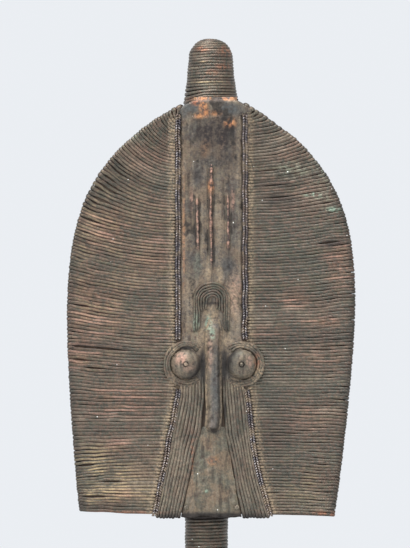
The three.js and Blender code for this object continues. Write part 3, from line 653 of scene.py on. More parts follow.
def cheek_wires(name, cheek, slits, node, seed):
    rng = np.random.default_rng(seed)
    side = cheek.side
    share = wire_shares(cheek, rng)
    count = len(share)
    start_z = on_board(0, share * cheek.inner_top)[1]
    start_x = band_edge(side, start_z) + side * TUCKED
    up = wire_ends(cheek, share)
    end_x, end_z, out_x, out_z = edge_place(side, up)
    s = np.linspace(0, 1, FRONT_STEPS)
    x = start_x[:, None] + s * (end_x - start_x)[:, None]
    z = start_z[:, None] + s ** 2 * (end_z - start_z)[:, None]
    number = np.arange(count)[:, None] + 0 * s
    along = np.abs(x - start_x[:, None])
    spots = np.stack([along, number * 2.1], -1)
    loose = smooth(0.1, 1, s)
    wave = 0.2 * ripple(np.stack([along, number * 40], -1), 22, seed) + 0.35 * ripple(spots, 34, seed + 1)
    wave = wave + 0.09 * ripple(np.stack([along, number * 23], -1), 8, seed + 3)
    wave = wave * (0.25 + 0.75 * loose)
    parted = part_wires(x, z, slits) * smooth(1, 0.93, s)
    z = z + wave + parted
    run_x = np.gradient(x, axis=1)
    run_z = np.gradient(z, axis=1)
    length = np.hypot(run_x, run_z)
    square = np.abs(np.gradient(z - wave - parted, axis=0) * run_x - np.gradient(x, axis=0) * run_z) / length
    dir_x = run_x / length
    dir_z = run_z / length
    bounce = 0.12 * ripple(np.stack([along, number * 31], -1), 16, seed + 2)
    lift = GAP + 0.5 * WIRE + bounce
    flat = np.stack([x, front(x, z) - lift, z], -1)
    # Towards the rim a wire's width turns from square across the wire to along the rim
    rim_run = np.stack([-out_z, 0 * out_x, out_x], -1)[:, None, :]
    square_to = np.stack([-dir_z, 0 * x, dir_x], -1)
    turned = smooth(0.9, 1, s)[None, :, None]
    across = unit(square_to * (1 - turned) + rim_run * turned)
    lean = np.maximum((across * square_to).sum(axis=-1), 0.42)
    slant = np.clip((rim_run[:, 0] * np.stack([dir_x[:, -1], 0 * out_x, dir_z[:, -1]], -1)).sum(axis=-1), -0.8, 0.8)
    slant = slant[:, None]
    rim_lift = GAP + 0.45 * WIRE + (0.16 + 0.3 * np.abs(slant)) * rng.uniform(-1, 1, count)[:, None]
    rim_x = x[:, -1:]
    rim_z = z[:, -1:]
    ahead = front(rim_x, rim_z) - lift[:, -1:]
    behind = back(rim_x, rim_z) + GAP + 0.5 * WIRE
    turns = np.linspace(0, math.pi, RIM_STEPS + 2)[1:-1]
    away = rim_lift * np.sin(turns) ** 0.6
    depth = -np.sign(np.cos(turns)) * np.abs(np.cos(turns)) ** 0.7
    slide = slant * SLIDE * (1 + depth)
    rim_y = 0.5 * (ahead + behind) + 0.5 * (behind - ahead) * depth
    rim = rim_run * slide[..., None]
    rim[..., 0] += rim_x + out_x[:, None] * away
    rim[..., 1] += rim_y
    rim[..., 2] += rim_z + out_z[:, None] * away
    fold = np.minimum(FOLD.length, FOLD.share * half_width(up)) * rng.uniform(0.8, 1.05, count)
    inward = fold[:, None] * np.linspace(0.02, 1, BACK_STEPS)
    straight_in = np.sqrt(1 - slant ** 2)
    back_x = rim_x + rim_run[..., 0] * slant * (2 * SLIDE + inward) - out_x[:, None] * straight_in * inward
    back_z = rim_z + rim_run[..., 2] * slant * (2 * SLIDE + inward) - out_z[:, None] * straight_in * inward
    folded = np.stack([back_x, back(back_x, back_z) + GAP + 0.5 * WIRE, back_z], -1)
    paths = np.concatenate([flat, rim, folded], axis=1)
    across = np.concatenate([across, np.repeat(rim_run, RIM_STEPS + BACK_STEPS, axis=1)], axis=1)
    wide = 0.5 * OVERLAP * np.clip(square, 1.4, 2.45) / lean
    at_rim = 0.5 * OVERLAP * np.hypot(np.gradient(end_x), np.gradient(end_z))[:, None]
    wide = blend(wide, at_rim, turned[..., 0])
    wide = np.concatenate([wide, np.repeat(at_rim, RIM_STEPS + BACK_STEPS, axis=1)], axis=1)
    wide = wide * rng.uniform(0.92, 1.06, count)[:, None]
    high = np.full_like(wide, 0.45 * WIRE)
    order = np.arange(count)[:, None]
    tones = np.clip(0.5 + 0.2 * ripple(order, 14, seed + 5) + 0.12 * rng.normal(size=count), 0, 1)
    mesh = lay_wires(name, paths, across, wide, high, tones)
    piece(name, mesh, OLD_WIRE, [node])


OLD_WIRE = wire_finish("old_wire")

cheek_wires("wires_on_left_cheek", CHEEK_LEFT, SLITS_LEFT, "cheek_wires_left", 11)
cheek_wires("wires_on_right_cheek", CHEEK_RIGHT, SLITS_RIGHT, "cheek_wires_right", 23)

# Wire wound round the neck and the topknot


def wound_wire(name, axis_x, axis_y, heights, radii, turns, lean, foot, node, seed, droop=0):
    """One wire wound up a round core, whose outline is given by heights and the radii of the wire's middle.
    droop is how far the lowest turns sag on the left."""
    rings = int(turns * 44)
    share = np.linspace(0, 1, rings)
    lengths = np.concatenate([[0], np.cumsum(np.hypot(np.diff(heights), np.diff(radii)))])
    height = np.interp(share * lengths[-1], lengths, heights)
    radius = np.interp(share * lengths[-1], lengths, radii)
    angle = 2 * math.pi * turns * share
    turn = np.floor(angle / (2 * math.pi) + 0.25)
    around = np.stack([np.cos(angle) * 16, np.sin(angle) * 16, turn * 9], -1)
    sag = smooth(9, 0, height - heights[0]) * smooth(0.2, 1, -np.cos(angle)) * droop
    height = height + 0.13 * ripple(around, 30, seed) - sag
    radius = radius + 0.16 * ripple(around, 26, seed + 1)
    x = axis_x + radius * np.cos(angle)
    y = axis_y + radius * np.sin(angle) + lean * height
    path = np.stack([x, y, foot + height], -1)[None]
    run_up = np.gradient(np.interp(share * lengths[-1], lengths, heights))
    run_in = np.gradient(np.interp(share * lengths[-1], lengths, radii))
    size = np.hypot(run_up, run_in)
    up = run_up / size
    outwards = run_in / size
    across = np.stack([outwards * np.cos(angle), outwards * np.sin(angle), up], -1)[None]
    wide = np.full((1, rings), 0.5 * lengths[-1] / turns * OVERLAP) + 0.12 * sag
    mesh = lay_wires(name, path, across, wide, np.full((1, rings), 0.5 * WIRE * 0.9), np.array([0.5]))
    places = coordinates(mesh)
    put(mesh, "tone", 0.5 + 0.3 * ripple(places * np.array([0.3, 0.3, 3]), 8, seed + 3))
    piece(name, mesh, BOUND_WIRE, [node])


def topknot_wire():
    levels = np.array([level for level, _ in TOPKNOT_PROFILE])
    radii = np.array([radius for _, radius in TOPKNOT_PROFILE])
    lengths = np.concatenate([[0], np.cumsum(np.hypot(np.diff(levels), np.diff(radii)))])
    even = np.linspace(0, lengths[-1], 160)
    height = np.interp(even, lengths, levels)
    radius = np.interp(even, lengths, radii)
    for _ in range(6):
        height[1:-1] = (height[:-2] + height[1:-1] + height[2:]) / 3
        radius[1:-1] = (radius[:-2] + radius[1:-1] + radius[2:]) / 3
    rise = np.gradient(height)
    spread = np.gradient(radius)
    inset = 0.45 * WIRE / np.hypot(rise, spread)
    height = np.maximum(height + inset * spread, GAP + 0.5 * WIRE)
    radius = np.maximum(radius - inset * rise, 0.9)
    turns = lengths[-1] / TOPKNOT.pitch
    wound_wire("wire_on_topknot", TOPKNOT.x, TOPKNOT.y, height, radius, turns, TOPKNOT.lean, TOPKNOT.foot,
               "topknot_wire", 31, droop=3.2)


def neck_wire():
    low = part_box("neck_wire")[0].z / MM + 0.5 * WIRE
    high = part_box("neck_wire")[1].z / MM - 0.5 * WIRE
    height = np.linspace(low, high, 60)
    radius = NECK.radius - 0.5 * WIRE + NECK.collar * smooth(high - 2 * NECK.pitch, high, height)
    turns = (high - low) / NECK.pitch
    wound_wire("wire_on_neck", 0, 0, height, radius, turns, 0, 0, "neck_wire", 47)


BOUND_WIRE = wire_finish("bound_wire", dusty=0.8)

topknot_wire()
neck_wire()

# Braids: two cords side by side, each twisted from two thin wires


def braid(name, side, bottom, top, node, seed):
    rng = np.random.default_rng(seed)
    strand = 0.56
    lay = 3.5
    steps = int((top - bottom) / lay * 11)
    z = np.linspace(bottom, top, steps)
    middle_x = band_edge(side, z) + 0.25 * ripple(z[:, None], 30, seed)
    travelled = np.concatenate([[0], np.cumsum(np.hypot(np.diff(z), np.diff(middle_x)))])
    paths = []
    for cord in (-1, 1):
        for half in (0, math.pi):
            angle = cord * 2 * math.pi * travelled / lay + half + rng.uniform(0, 0.4)
            x = middle_x + cord * 1.02 + strand * np.cos(angle)
            lift = ON_BAND + 1.35 + 1.25 * strand * np.sin(angle)
            paths.append(np.stack([x, dish(x, z) - lift, z], -1))
    paths = np.array(paths)
    thick = np.full(paths.shape[:2], strand * 1.04)
    tones = rng.uniform(0.3, 0.9, len(paths))
    mesh = lay_wires(name, paths, None, thick, thick, tones, sides=7, flatness=1)
    places = coordinates(mesh)
    above_cord = dish(places[:, 0], places[:, 2]) - places[:, 1] - ON_BAND - 1.35
    put(mesh, "crest", smooth(0.3, 1, above_cord / (2.25 * strand)))
    piece(name, mesh, TWISTED_WIRE, [node])


def twisted_finish():
    """Twisted wire: bright painted highlights on the worn beads where a strand crosses over, painted near-black
    shade between them.
    """
    f = Finish("twisted_wire")
    crest = f.attribute("crest")
    speck = f.noise(2.2, detail=2, rough=0.7)
    cloud = f.noise(9, detail=3)
    patina = f.mix(f.span(cloud, 0.4, 0.6), (0.07, 0.062, 0.07), (0.12, 0.085, 0.065))
    # Painted highlights on the beads' tops and painted shade between the beads
    bead_highlight = f.times(f.span(crest, 0.8, 0.99), f.span(speck, 0.46, 0.62, 0.04, 1))
    patina = f.mix(bead_highlight, patina, (0.5, 0.46, 0.45))
    patina = f.mix(f.times(f.span(crest, 0.6, 0.25), 0.85), patina, (0.016, 0.013, 0.014))
    dusty = f.times(f.span(f.noise(5, detail=4), 0.48, 0.62), 0.55)
    colour = f.mix(dusty, patina, DUST)
    return f.surface(colour, f.span(dusty, 0, 0.6, 0.33, 0.8), f.span(dusty, 0, 0.5, 0.6, 0.1), f.bump(speck, 0.1))


TWISTED_WIRE = twisted_finish()

for number, (name, side) in enumerate((("left", -1), ("right", 1))):
    braid(f"braid_above_{name}_eye", side, BRAID.eye_top, BRAID.top, f"braid_upper_{name}", 60 + number)
    braid(f"braid_below_{name}_eye", side, BRAID.bottom, BRAID.eye_bottom, f"braid_lower_{name}", 70 + number)

# Sheet metal: the forehead and chin plates

RIBS = [(-6.4, 285.5, 331, 1.9), (3.15, 274.5, 352, 2.0), (15.05, 285.5, 331, 1.6)]
COVER = Sizes(widens=384.5, wide=388)


def sheet_grid(name, columns, rows):
    """A flat sheet of two skins, SHEET apart, from 0 to 1 across (x) and up (z)."""
    bm = bmesh.new()
    bmesh.ops.create_grid(bm, x_segments=columns, y_segments=rows, size=0.5)
    bmesh.ops.translate(bm, verts=bm.verts, vec=(0.5, 0.5, 0))
    upper = bmesh.ops.extrude_face_region(bm, geom=bm.faces[:])
    moved = [part for part in upper["geom"] if isinstance(part, bmesh.types.BMVert)]
    bmesh.ops.translate(bm, verts=moved, vec=(0, 0, 1))
    bmesh.ops.recalc_face_normals(bm, faces=bm.faces)
    return mesh_from(bm, name)


def rib_height(x, z):
    height = np.zeros_like(x)
    for rib_x, bottom, top, tall in RIBS:
        middle = rib_x + 0.25 * np.sin((z - bottom) / 9)
        ends = smooth(0, 8, np.minimum(z - bottom, top - z))
        ridge = np.exp(-(((x - middle) / 1.15) ** 2)) * tall
        groove = 0.5 * np.exp(-(((np.abs(x - middle) - 2.1) / 0.7) ** 2))
        height = height + (ridge - groove) * ends
    beaded = smooth(338, 341, z) * smooth(354, 351, z) * np.exp(-(((x - RIBS[1][0]) / 1.2) ** 2))
    return height + beaded * 0.7 * np.sin(2 * math.pi * z / 2.4)


def forehead_plate():
    mesh = sheet_grid("forehead", 88, 300)
    flat = coordinates(mesh)
    z = blend(FOREHEAD.bottom - 30, FOREHEAD.top + 5, flat[:, 1])
    room = 1.75
    up = (z - BOARD.chin) / math.cos(BOARD.lean)
    left_rim, _ = on_board(-half_width(np.minimum(up, 289)) - 0.5, up)
    right_rim, _ = on_board(half_width(np.minimum(up, 289)) + 0.5, up)
    spread = smooth(COVER.widens - 2, COVER.wide, z)
    left = np.maximum(blend(band_edge(-1, z) + room, left_rim, spread), left_rim)
    right = np.minimum(blend(band_edge(1, z) - room, right_rim, spread), right_rim)
    x = blend(left, right, flat[:, 0])
    spots = np.stack([x, z], -1)
    ragged = 0.35 * ripple(spots, 11, 81)
    edge = np.minimum(x - left, right - x)
    dents = 0.3 * ripple(spots, 24, 82) + 0.16 * ripple(spots, 7, 83) + 0.07 * ripple(spots, 3, 84)
    curl = 0.55 * smooth(1.6, 0, edge) + 1.2 * spread * smooth(2.5, 0, edge) - 0.9 * spread
    ribs = rib_height(x, z)
    seam = 0.5 * smooth(1.2, 0, np.abs(z - 381.5 - ragged)) * smooth(-12, -2, x)
    lean = 2.2 * smooth(FOREHEAD.top + 1, FOREHEAD.top + 5, z)
    lift = ON_BAND + 0.15 + SHEET * flat[:, 2] + dents - curl + ribs + seam - lean
    places = np.stack([x, dish(x, z) - lift, z], -1)
    move_to(mesh, places)
    put(mesh, "crest", np.clip(0.5 + 0.35 * ribs + 0.4 * dents, 0, 1))
    piece("sheet_on_forehead", mesh, FOREHEAD_SHEET, ["forehead_plate"])


def chin_border(side, z):
    share = (z - BOARD.chin) / (CHIN.top - BOARD.chin)
    return blend(CHIN.centre, CHIN.tip_centre, share) + side * blend(CHIN.half, CHIN.tip_half, share)


def chin_plate():
    mesh = sheet_grid("chin", 64, 84)
    flat = coordinates(mesh)
    z = blend(JAW.bottom, CHIN.top + 4, flat[:, 1])
    spots = np.stack([flat[:, 0] * 40, z], -1)
    lip = smooth(JAW.bottom + 2.2, JAW.bottom, z)
    x = blend(chin_border(-1, z), chin_border(1, z), flat[:, 0])
    x = x + 0.25 * ripple(spots, 9, 90) * (np.abs(flat[:, 0] - 0.5) > 0.45)
    bulge = CHIN.bulge * np.sin(math.pi * np.clip(flat[:, 0], 0, 1))
    dents = 0.3 * ripple(spots, 15, 91) + 0.2 * ripple(spots, 6, 92) + 0.08 * ripple(spots, 2.6, 93)
    lift = ON_BAND + SHEET * flat[:, 2] + bulge + dents - 1.6 * lip
    z = z - 0.7 * lip * (1 + ripple(spots, 8, 94))
    move_to(mesh, np.stack([x, dish(x, z) - lift, z], -1))
    put(mesh, "crest", np.clip(0.55 + 0.3 * dents, 0, 1))
    piece("sheet_on_chin", mesh, CHIN_SHEET, ["chin_plate"])


def sheet_finish(name, cold, warm, dust=0.8):
    """Old copper sheet: mottled, streaked upwards, with rust-red and blue-grey stains and dust, black painted
    shadow, painted highlights on its crests and painted shade in its hollows.
    """
    f = Finish(name)
    cloud = f.noise(12, detail=5, rough=0.65)
    fine = f.noise(2.8, detail=4, rough=0.7)
    speck = f.noise(1.1, detail=2, rough=0.7)
    upright = f.noise(8, detail=4, stretch=(3.2, 3.2, 0.4))
    patina = f.mix(f.span(f.plus(f.times(cloud, 0.6), f.times(fine, 0.4)), 0.42, 0.58), cold, warm)
    patina = f.mix(f.times(f.span(upright, 0.5, 0.66), 0.45), patina, PALE)
    patina = f.mix(f.times(f.span(upright, 0.48, 0.34), 0.6), patina, DARK)
    patina = f.mix(f.times(f.span(fine, 0.52, 0.66), 0.5), patina, OLIVE)
    patina = f.mix(f.times(f.span(fine, 0.46, 0.34), 0.4), patina, OX_RED)
    # Pink metal tint, and pink painted highlights on the eye domes and the nose
    patina = f.mix(f.times(f.attribute("copper"), f.span(fine, 0.35, 0.6)), patina, PINK_COPPER)
    patina = f.mix(f.times(f.attribute("blue"), f.span(fine, 0.3, 0.55, 0.5, 1)), patina, BLUE_GREY)
    # Black painted shadow where the shadow marks lie: the dark top of the forehead and the grooves beside its ribs
    black = f.times(f.attribute("shadow"), f.span(fine, 0.3, 0.68, 0.97, 0.55))
    patina = f.mix(black, patina, (0.026, 0.02, 0.02))
    rusty = f.times(f.attribute("rust"), f.span(fine, 0.4, 0.5))
    patina = f.mix(rusty, patina, f.mix(f.span(f.plus(fine, cloud), 0.9, 1.1), RED_RUST, ORANGE_RUST))
    green = f.times(f.attribute("verdigris"), f.span(fine, 0.38, 0.55))
    patina = f.mix(green, patina, VERDIGRIS)
    # Painted highlight in pink on raised ribs and the tops of dents, partly bare metal, and painted shade where the
    # sheet lies low: beside the ribs, in dents and in the eye's pit
    crest = f.times(f.span(f.attribute("crest"), 0.75, 1), f.span(fine, 0.4, 0.6))
    patina = f.mix(f.times(crest, 0.75), patina, PINK_COPPER)
    patina = f.mix(f.times(f.span(f.attribute("crest"), 0.42, 0.3), 0.9), patina, DARK)
    grains = f.span(f.noise(1.7, detail=4, rough=0.75), 0.34, 0.6)
    dusty = f.times(f.attribute("dust"), f.times(grains, dust))
    dusty = f.times(dusty, f.span(black, 0, 0.7, 1, 0.2))
    colour = f.mix(dusty, patina, DUST)
    # Painted shade and soot darken the colour towards black
    colour = f.mix(f.times(f.attribute("painted_shade_and_soot"), 0.92), colour, DARK)
    colour = f.shade(colour, f.times(f.span(speck, 0.25, 0.75, 0.78, 1.22), f.span(fine, 0.3, 0.7, 0.82, 1.18)))
    colour = f.mix(f.white_specks(), colour, WHITE_SPECK)
    roughness = f.plus(f.span(dusty, 0, 0.6, 0.44, 0.9), f.span(fine, 0.3, 0.7, -0.08, 0.1))
    normal = f.bump(fine, 0.5, f.bump(speck, 0.15))
    return f.surface(colour, roughness, f.span(dusty, 0, 0.5, 0.5, 0), normal)


FOREHEAD_SHEET = sheet_finish("ribbed_sheet", (0.088, 0.08, 0.07), (0.14, 0.1, 0.07))
CHIN_SHEET = sheet_finish("mottled_sheet", (0.094, 0.092, 0.07), (0.15, 0.105, 0.07))

forehead_plate()
chin_plate()

# Nose, hood and eyes


def on_face(x, z, lift):
    return np.stack([x, dish(x, z) - lift, z], -1)


def nose():
    rings = 130
    mesh = straight_wires("nose_blade", 1, rings, 44)
    straight = coordinates(mesh)
    share = 1 - straight[:, 2] / (rings - 1)
    share = blend(share, share ** 1.5, 0.6)
    z = blend(NOSE.bottom, NOSE.top, share)
    tip = np.clip((z - NOSE.bottom) / NOSE.half, 0, 1)
    root = smooth(NOSE.top - 8, NOSE.top, z)
    narrow = NOSE.half * blend(0.2, 1, np.sqrt(1 - (1 - tip) ** 2)) * (1 - 0.3 * root)
    under = np.where(z > FOREHEAD.bottom - 1, ON_BAND + SHEET, ON_BAND)
    crest = np.interp(share, [0, 0.5, 1], [NOSE.tip, NOSE.crest, NOSE.root])
    crest = crest - 3 * smooth(3.6, 0, z - NOSE.bottom) - 2.2 * root
    cos = straight[:, 0]
    sin = np.maximum(straight[:, 1], 0)
    # A low flange at the foot of the blade, which is narrower above it
    blade = blend(1, 0.78, smooth(0.1, 0.36, sin))
    spots = np.stack([NOSE.x + narrow * cos, z], -1)
    dents = 0.25 * ripple(spots, 13, 101) + 0.14 * ripple(spots, 5, 102) + 0.06 * ripple(spots, 2.4, 103)
    x = NOSE.x + narrow * blade * np.sign(cos) * np.abs(cos) ** 0.8 + 0.3 * ripple(z[:, None], 30, 104)
    lift = under + (crest - under) * sin ** 0.8 + dents * sin
    move_to(mesh, on_face(x, z, lift))
    put(mesh, "crest", np.clip(0.5 + 0.5 * dents, 0, 1))
    # Dust at the blade's foot and root; the pale dust over its left half is a painted highlight on the lit side
    dust = 0.08 + 0.9 * smooth(0.5, 0.2, sin) + 0.7 * root + 0.45 * smooth(-0.1, -0.8, cos)
    piece("nose_blade", mesh, NOSE_SHEET, ["nose"], dust)


def hood():
    wires = 6
    step = 1.62
    rings = 70
    inset = 0.5 * step + step * np.arange(wires)
    half = HOOD.half - inset
    crown = HOOD.crown - inset * 1.12
    legs = HOOD.foot + np.array([0, 0, 1, 14, 15, 16])
    paths = []
    for k in range(wires):
        arch = np.linspace(0, math.pi, rings - 24)
        arch_x = half[k] * np.cos(arch)
        arch_z = crown[k] - half[k] + half[k] * np.sin(arch)
        leg = np.linspace(legs[k], crown[k] - half[k], 13)[:-1]
        x = HOOD.x + np.concatenate([np.full(12, half[k]), arch_x, np.full(12, -half[k])])
        z = np.concatenate([leg, arch_z, leg[::-1]])
        bent = np.stack([x, z], -1)
        x = x + 0.35 * ripple(bent, 14, 110) + 0.14 * ripple(bent, 6, 111 + k)
        z = z + 0.35 * ripple(bent, 15, 119)
        paths.append(on_face(x, z, ON_BAND + SHEET + 0.75 + 0.12 * k + 0.2 * ripple(bent, 12, 121 + k)))
    paths = np.array(paths)
    thick = np.full(paths.shape[:2], 0.5 * step * 1.06)
    tones = np.random.default_rng(5).uniform(0.3, 0.6, wires)
    mesh = lay_wires("hood_wires", paths, None, thick, 0.85 * thick, tones)
    piece("wires_of_hood", mesh, BOUND_WIRE, ["nose_hood"])


def turned_shell(name, profile, steps):
    """A closed turned shape about the vertical axis, from radii and heights that start and end on it."""
    bm = bmesh.new()
    verts = [bm.verts.new((radius, 0, height)) for radius, height in profile]
    edges = [bm.edges.new(pair) for pair in zip(verts, verts[1:])]
    whole = dict(cent=(0, 0, 0), axis=(0, 0, 1), angle=2 * math.pi, steps=steps, use_merge=True)
    bmesh.ops.spin(bm, geom=verts + edges, **whole)
    bmesh.ops.remove_doubles(bm, verts=bm.verts, dist=1e-4)
    bmesh.ops.recalc_face_normals(bm, faces=bm.faces)
    return mesh_from(bm, name)


def eye(name, x, seed):
    crown = EYE.height - EYE.rim
    brim = math.acos(EYE.pit / EYE.radius)
    wall = [(0, ON_BAND - 0.2), (EYE.radius - 0.4, ON_BAND - 0.2), (EYE.radius, ON_BAND + 0.3)]
    dome = [
        (EYE.radius * math.cos(turn), ON_BAND + EYE.rim + crown * math.sin(turn))
        for turn in np.linspace(0, brim, 22)
    ]
    floor = ON_BAND + EYE.height - EYE.pit_depth
    pit = [(EYE.pit - 0.35, floor + 0.75), (EYE.pit - 0.7, floor + 0.1), (EYE.pit - 1.2, floor), (0, floor)]
    mesh = turned_shell(f"eye_dome_{name}", wall + dome + pit, 64)
    places = coordinates(mesh)
    spots = places[:, :2]
    dents = 0.24 * ripple(spots, 9, seed) + 0.1 * ripple(spots, 3.5, seed + 1) + 0.05 * ripple(spots, 1.8, seed + 2)
    away = np.hypot(places[:, 0], places[:, 1])
    squash = 1 + 0.02 * ripple(unit(spots + 1e-6), 1.5, seed + 3)
    wide = places[:, 0] * squash + x
    high = places[:, 1] * squash + EYE.z
    lift = places[:, 2] + dents * smooth(EYE.radius + 0.1, EYE.radius - 2, away)
    move_to(mesh, on_face(wide, high, lift))
    put(mesh, "crest", np.clip(0.55 + 0.5 * dents - 0.4 * smooth(EYE.pit, EYE.pit - 0.8, away), 0, 1))
    dust = 0.15 + 0.5 * smooth(EYE.radius - 2, EYE.radius - 0.2, away)
    made = piece(f"eye_dome_{name}", mesh, EYE_SHEET, [f"eye_{name}"], dust)
    # Painted shade on the dome: darker towards one side, as if lit from the other, round its rim and in its pit
    to_shaded_side = (spots @ np.array(EYE_PAINTED_SHADE_SIDE[name])) / EYE.radius
    rim = smooth(EYE.radius - 3, EYE.radius, away)
    pit_shade = smooth(EYE.pit + 0.5, EYE.pit - 0.5, away)
    put(made.data, "painted_shade_and_soot", np.maximum(0.85 * smooth(0.05, 0.95, to_shaded_side) + 0.3 * rim, 0.6 * pit_shade))


def eye_rings(name, x, seed):
    wires = 3
    rings = 72
    radii = np.array([11.75, 13.45, 15.1])
    to_nose = 1 if x < NOSE.x else -1
    reach = abs(NOSE.x - x) - NOSE.half - 0.6
    paths = []
    for k in range(wires):
        stop = max(0.85, math.acos(min(1, reach / radii[k])))
        turn = np.linspace(stop, 2 * math.pi - stop, rings)
        radius = radii[k] + 0.22 * ripple(np.stack([np.cos(turn), np.sin(turn)], -1) * 8, 7, seed + k)
        if name == "left":
            radius = radius + (1.5 - 0.5 * k) * np.exp(-(((turn - 1.55) / 0.42) ** 2))
        across = x + to_nose * radius * np.cos(turn)
        up = EYE.z + radius * np.sin(turn)
        lift = ON_BAND + 0.85 + 0.2 * ripple(np.stack([across, up], -1), 9, seed + 5)
        paths.append(on_face(across, up, lift))
    paths = np.array(paths)
    thick = np.full(paths.shape[:2], 1.05)
    tones = np.random.default_rng(seed).uniform(0.3, 0.6, wires)
    mesh = lay_wires(f"eye_rings_{name}", paths, None, thick, 0.75 * thick, tones)
    places = coordinates(mesh)
    dust = 0.75 + 0.35 * ripple(places[:, ::2], 14, seed + 7)
    piece(f"wires_round_{name}_eye", mesh, BOUND_WIRE, [f"eye_rings_{name}"], dust)


def nail(name, x, z, floor, radius, height, node, seed):
    profile = [(0, floor), (radius * 0.94, floor), (radius, floor + 0.3 * height)]
    profile += [
        (radius * math.cos(turn), floor + height * (0.3 + 0.7 * math.sin(turn)))
        for turn in np.linspace(0.2, 1.3, 5)
    ]
    profile.append((0, floor + height))
    mesh = turned_shell(name, profile, 20)
    places = coordinates(mesh)
    bumps = 0.09 * ripple(places * 1.0, 1.6, seed)
    grown = 1 + 0.08 * ripple(places[:, :2], 2.5, seed + 1)
    move_to(mesh, on_face(x + places[:, 0] * grown, z + places[:, 1] * grown, places[:, 2] + bumps))
    put(mesh, "crest", np.full(len(places), 0.7))
    piece(name, mesh, NAIL_METAL, [node])


def jaw_wires(name, side, eye_x, seed):
    rng = np.random.default_rng(seed)
    steps = 46
    lane = (np.arange(JAW.wires) + 0.5) / JAW.wires
    drop = np.linspace(0, 1, steps)
    guess = blend(NOSE.x + side * 6, band_edge(side, 196), lane)
    under_ring = 15.6 ** 2 - (guess - eye_x) ** 2
    top = np.where(under_ring > 0, EYE.z - np.sqrt(np.maximum(under_ring, 0)) + 1.2, EYE.z - 2)
    z = top[:, None] + (JAW.bottom - top)[:, None] * drop
    z = z + 0.15 * ripple(np.stack([z, lane[:, None] * 90 + 0 * z], -1), 12, seed + 3) * (drop < 0.9)
    beside_nose = NOSE.x + side * (NOSE.half + 0.4)
    by_chin = chin_border(side, np.minimum(z, CHIN.top)) + side * GAP
    inner = blend(by_chin, beside_nose, smooth(CHIN.top - 12, CHIN.top + 26, z))
    outer = band_edge(side, z) - side * TUCKED
    x = blend(inner, outer, lane[:, None])
    spots = np.stack([x * 3, z], -1)
    x = x + 0.2 * ripple(spots, 30, seed) + 0.08 * ripple(spots, 9, seed + 1)
    lift = ON_BAND + 0.5 * WIRE + 0.15 * ripple(spots, 20, seed + 2)
    flat = on_face(x, z, lift)
    end = flat[:, -1]
    turn = np.linspace(0, math.pi / 2, 6)[1:]
    corner = 2.0
    level = JAW.bottom - 0.2 - rng.uniform(0, 0.7, JAW.wires)[:, None]
    low = end[:, 1:2] + corner * (1 - np.cos(turn))
    bend = np.stack([end[:, :1] + 0 * low, low, blend(end[:, 2:], level, np.sin(turn))], -1)
    run = rng.uniform(5, 9, JAW.wires)[:, None] * np.linspace(0.25, 1, 4)
    tail = np.stack([end[:, :1] + 0 * run, low[:, -1:] + run, level + 0 * run], -1)
    paths = np.concatenate([flat, bend, tail], axis=1)
    across = np.zeros_like(paths)
    across[..., 0] = 1
    pitch = np.abs(outer - inner) / JAW.wires
    wide = 0.5 * OVERLAP * np.concatenate([pitch, np.repeat(pitch[:, -1:], 9, axis=1)], axis=1)
    tones = rng.uniform(0.7, 1, JAW.wires)
    mesh = lay_wires(f"jaw_wires_{name}", paths, across, wide, np.full_like(wide, 0.45 * WIRE), tones)
    piece(f"wires_on_{name}_jaw", mesh, OLD_WIRE, [f"jaw_wires_{name}"])


NOSE_SHEET = sheet_finish("nose_sheet", (0.08, 0.074, 0.066), (0.14, 0.1, 0.075))
EYE_SHEET = sheet_finish("eye_sheet", (0.095, 0.09, 0.07), (0.15, 0.112, 0.08))
NAIL_METAL = sheet_finish("nail_metal", (0.1, 0.09, 0.07), (0.22, 0.18, 0.13))

nose()
hood()
for number, (name, side) in enumerate((("left", -1), ("right", 1))):
    eye_x = EYE_X[name]
    eye(name, eye_x, 130 + 10 * number)
    eye_rings(name, eye_x, 150 + 10 * number)
    eye_floor = ON_BAND + EYE.height - EYE.pit_depth + GAP
    nail(f"nail_in_{name}_eye", eye_x, EYE.z, eye_floor, 1.4, 1.2, f"eye_nail_{name}", 170 + number)
    chin_z = BOARD.chin + 4.5
    chin_x = chin_border(side, chin_z) - side * 2
    nail(f"nail_on_chin_{name}", chin_x, chin_z, ON_BAND + SHEET + 0.6, 1.7, 1.2, f"chin_nail_{name}", 180 + number)
    jaw_wires(name, side, eye_x, 190 + 10 * number)

# Wood: the head's carved board, and the base


def wood_finish(name, dark, light, size, sheen):
    """Dry wood with grain up the piece, dark from handling and oil, lighter where it is worn."""
    f = Finish(name)
    grain = f.noise(size, detail=6, rough=0.6, stretch=(5, 5, 0.35), distort=0.4)
    cloud = f.noise(42, detail=3)
    fine = f.noise(1.2, detail=3, rough=0.7, stretch=(2.5, 2.5, 0.3))
    wood = f.mix(f.span(grain, 0.3, 0.7), dark, light)
    wood = f.mix(f.times(f.span(cloud, 0.55, 0.35), 0.65), wood, tuple(0.55 * part for part in dark))
    wood = f.mix(f.times(f.attribute("worn"), f.span(fine, 0.3, 0.6)), wood, tuple(1.5 * part for part in light))
    dusty = f.times(f.attribute("dust"), f.span(f.noise(2, detail=4, rough=0.7), 0.35, 0.62))
    wood = f.mix(f.times(dusty, 0.8), wood, DUST)
    wood = f.shade(wood, f.span(fine, 0.25, 0.75, 0.75, 1.2))
    roughness = f.span(cloud, 0.3, 0.7, sheen, sheen + 0.22)
    return f.surface(wood, roughness, 0.0, f.bump(grain, 0.5, f.bump(fine, 0.2)))


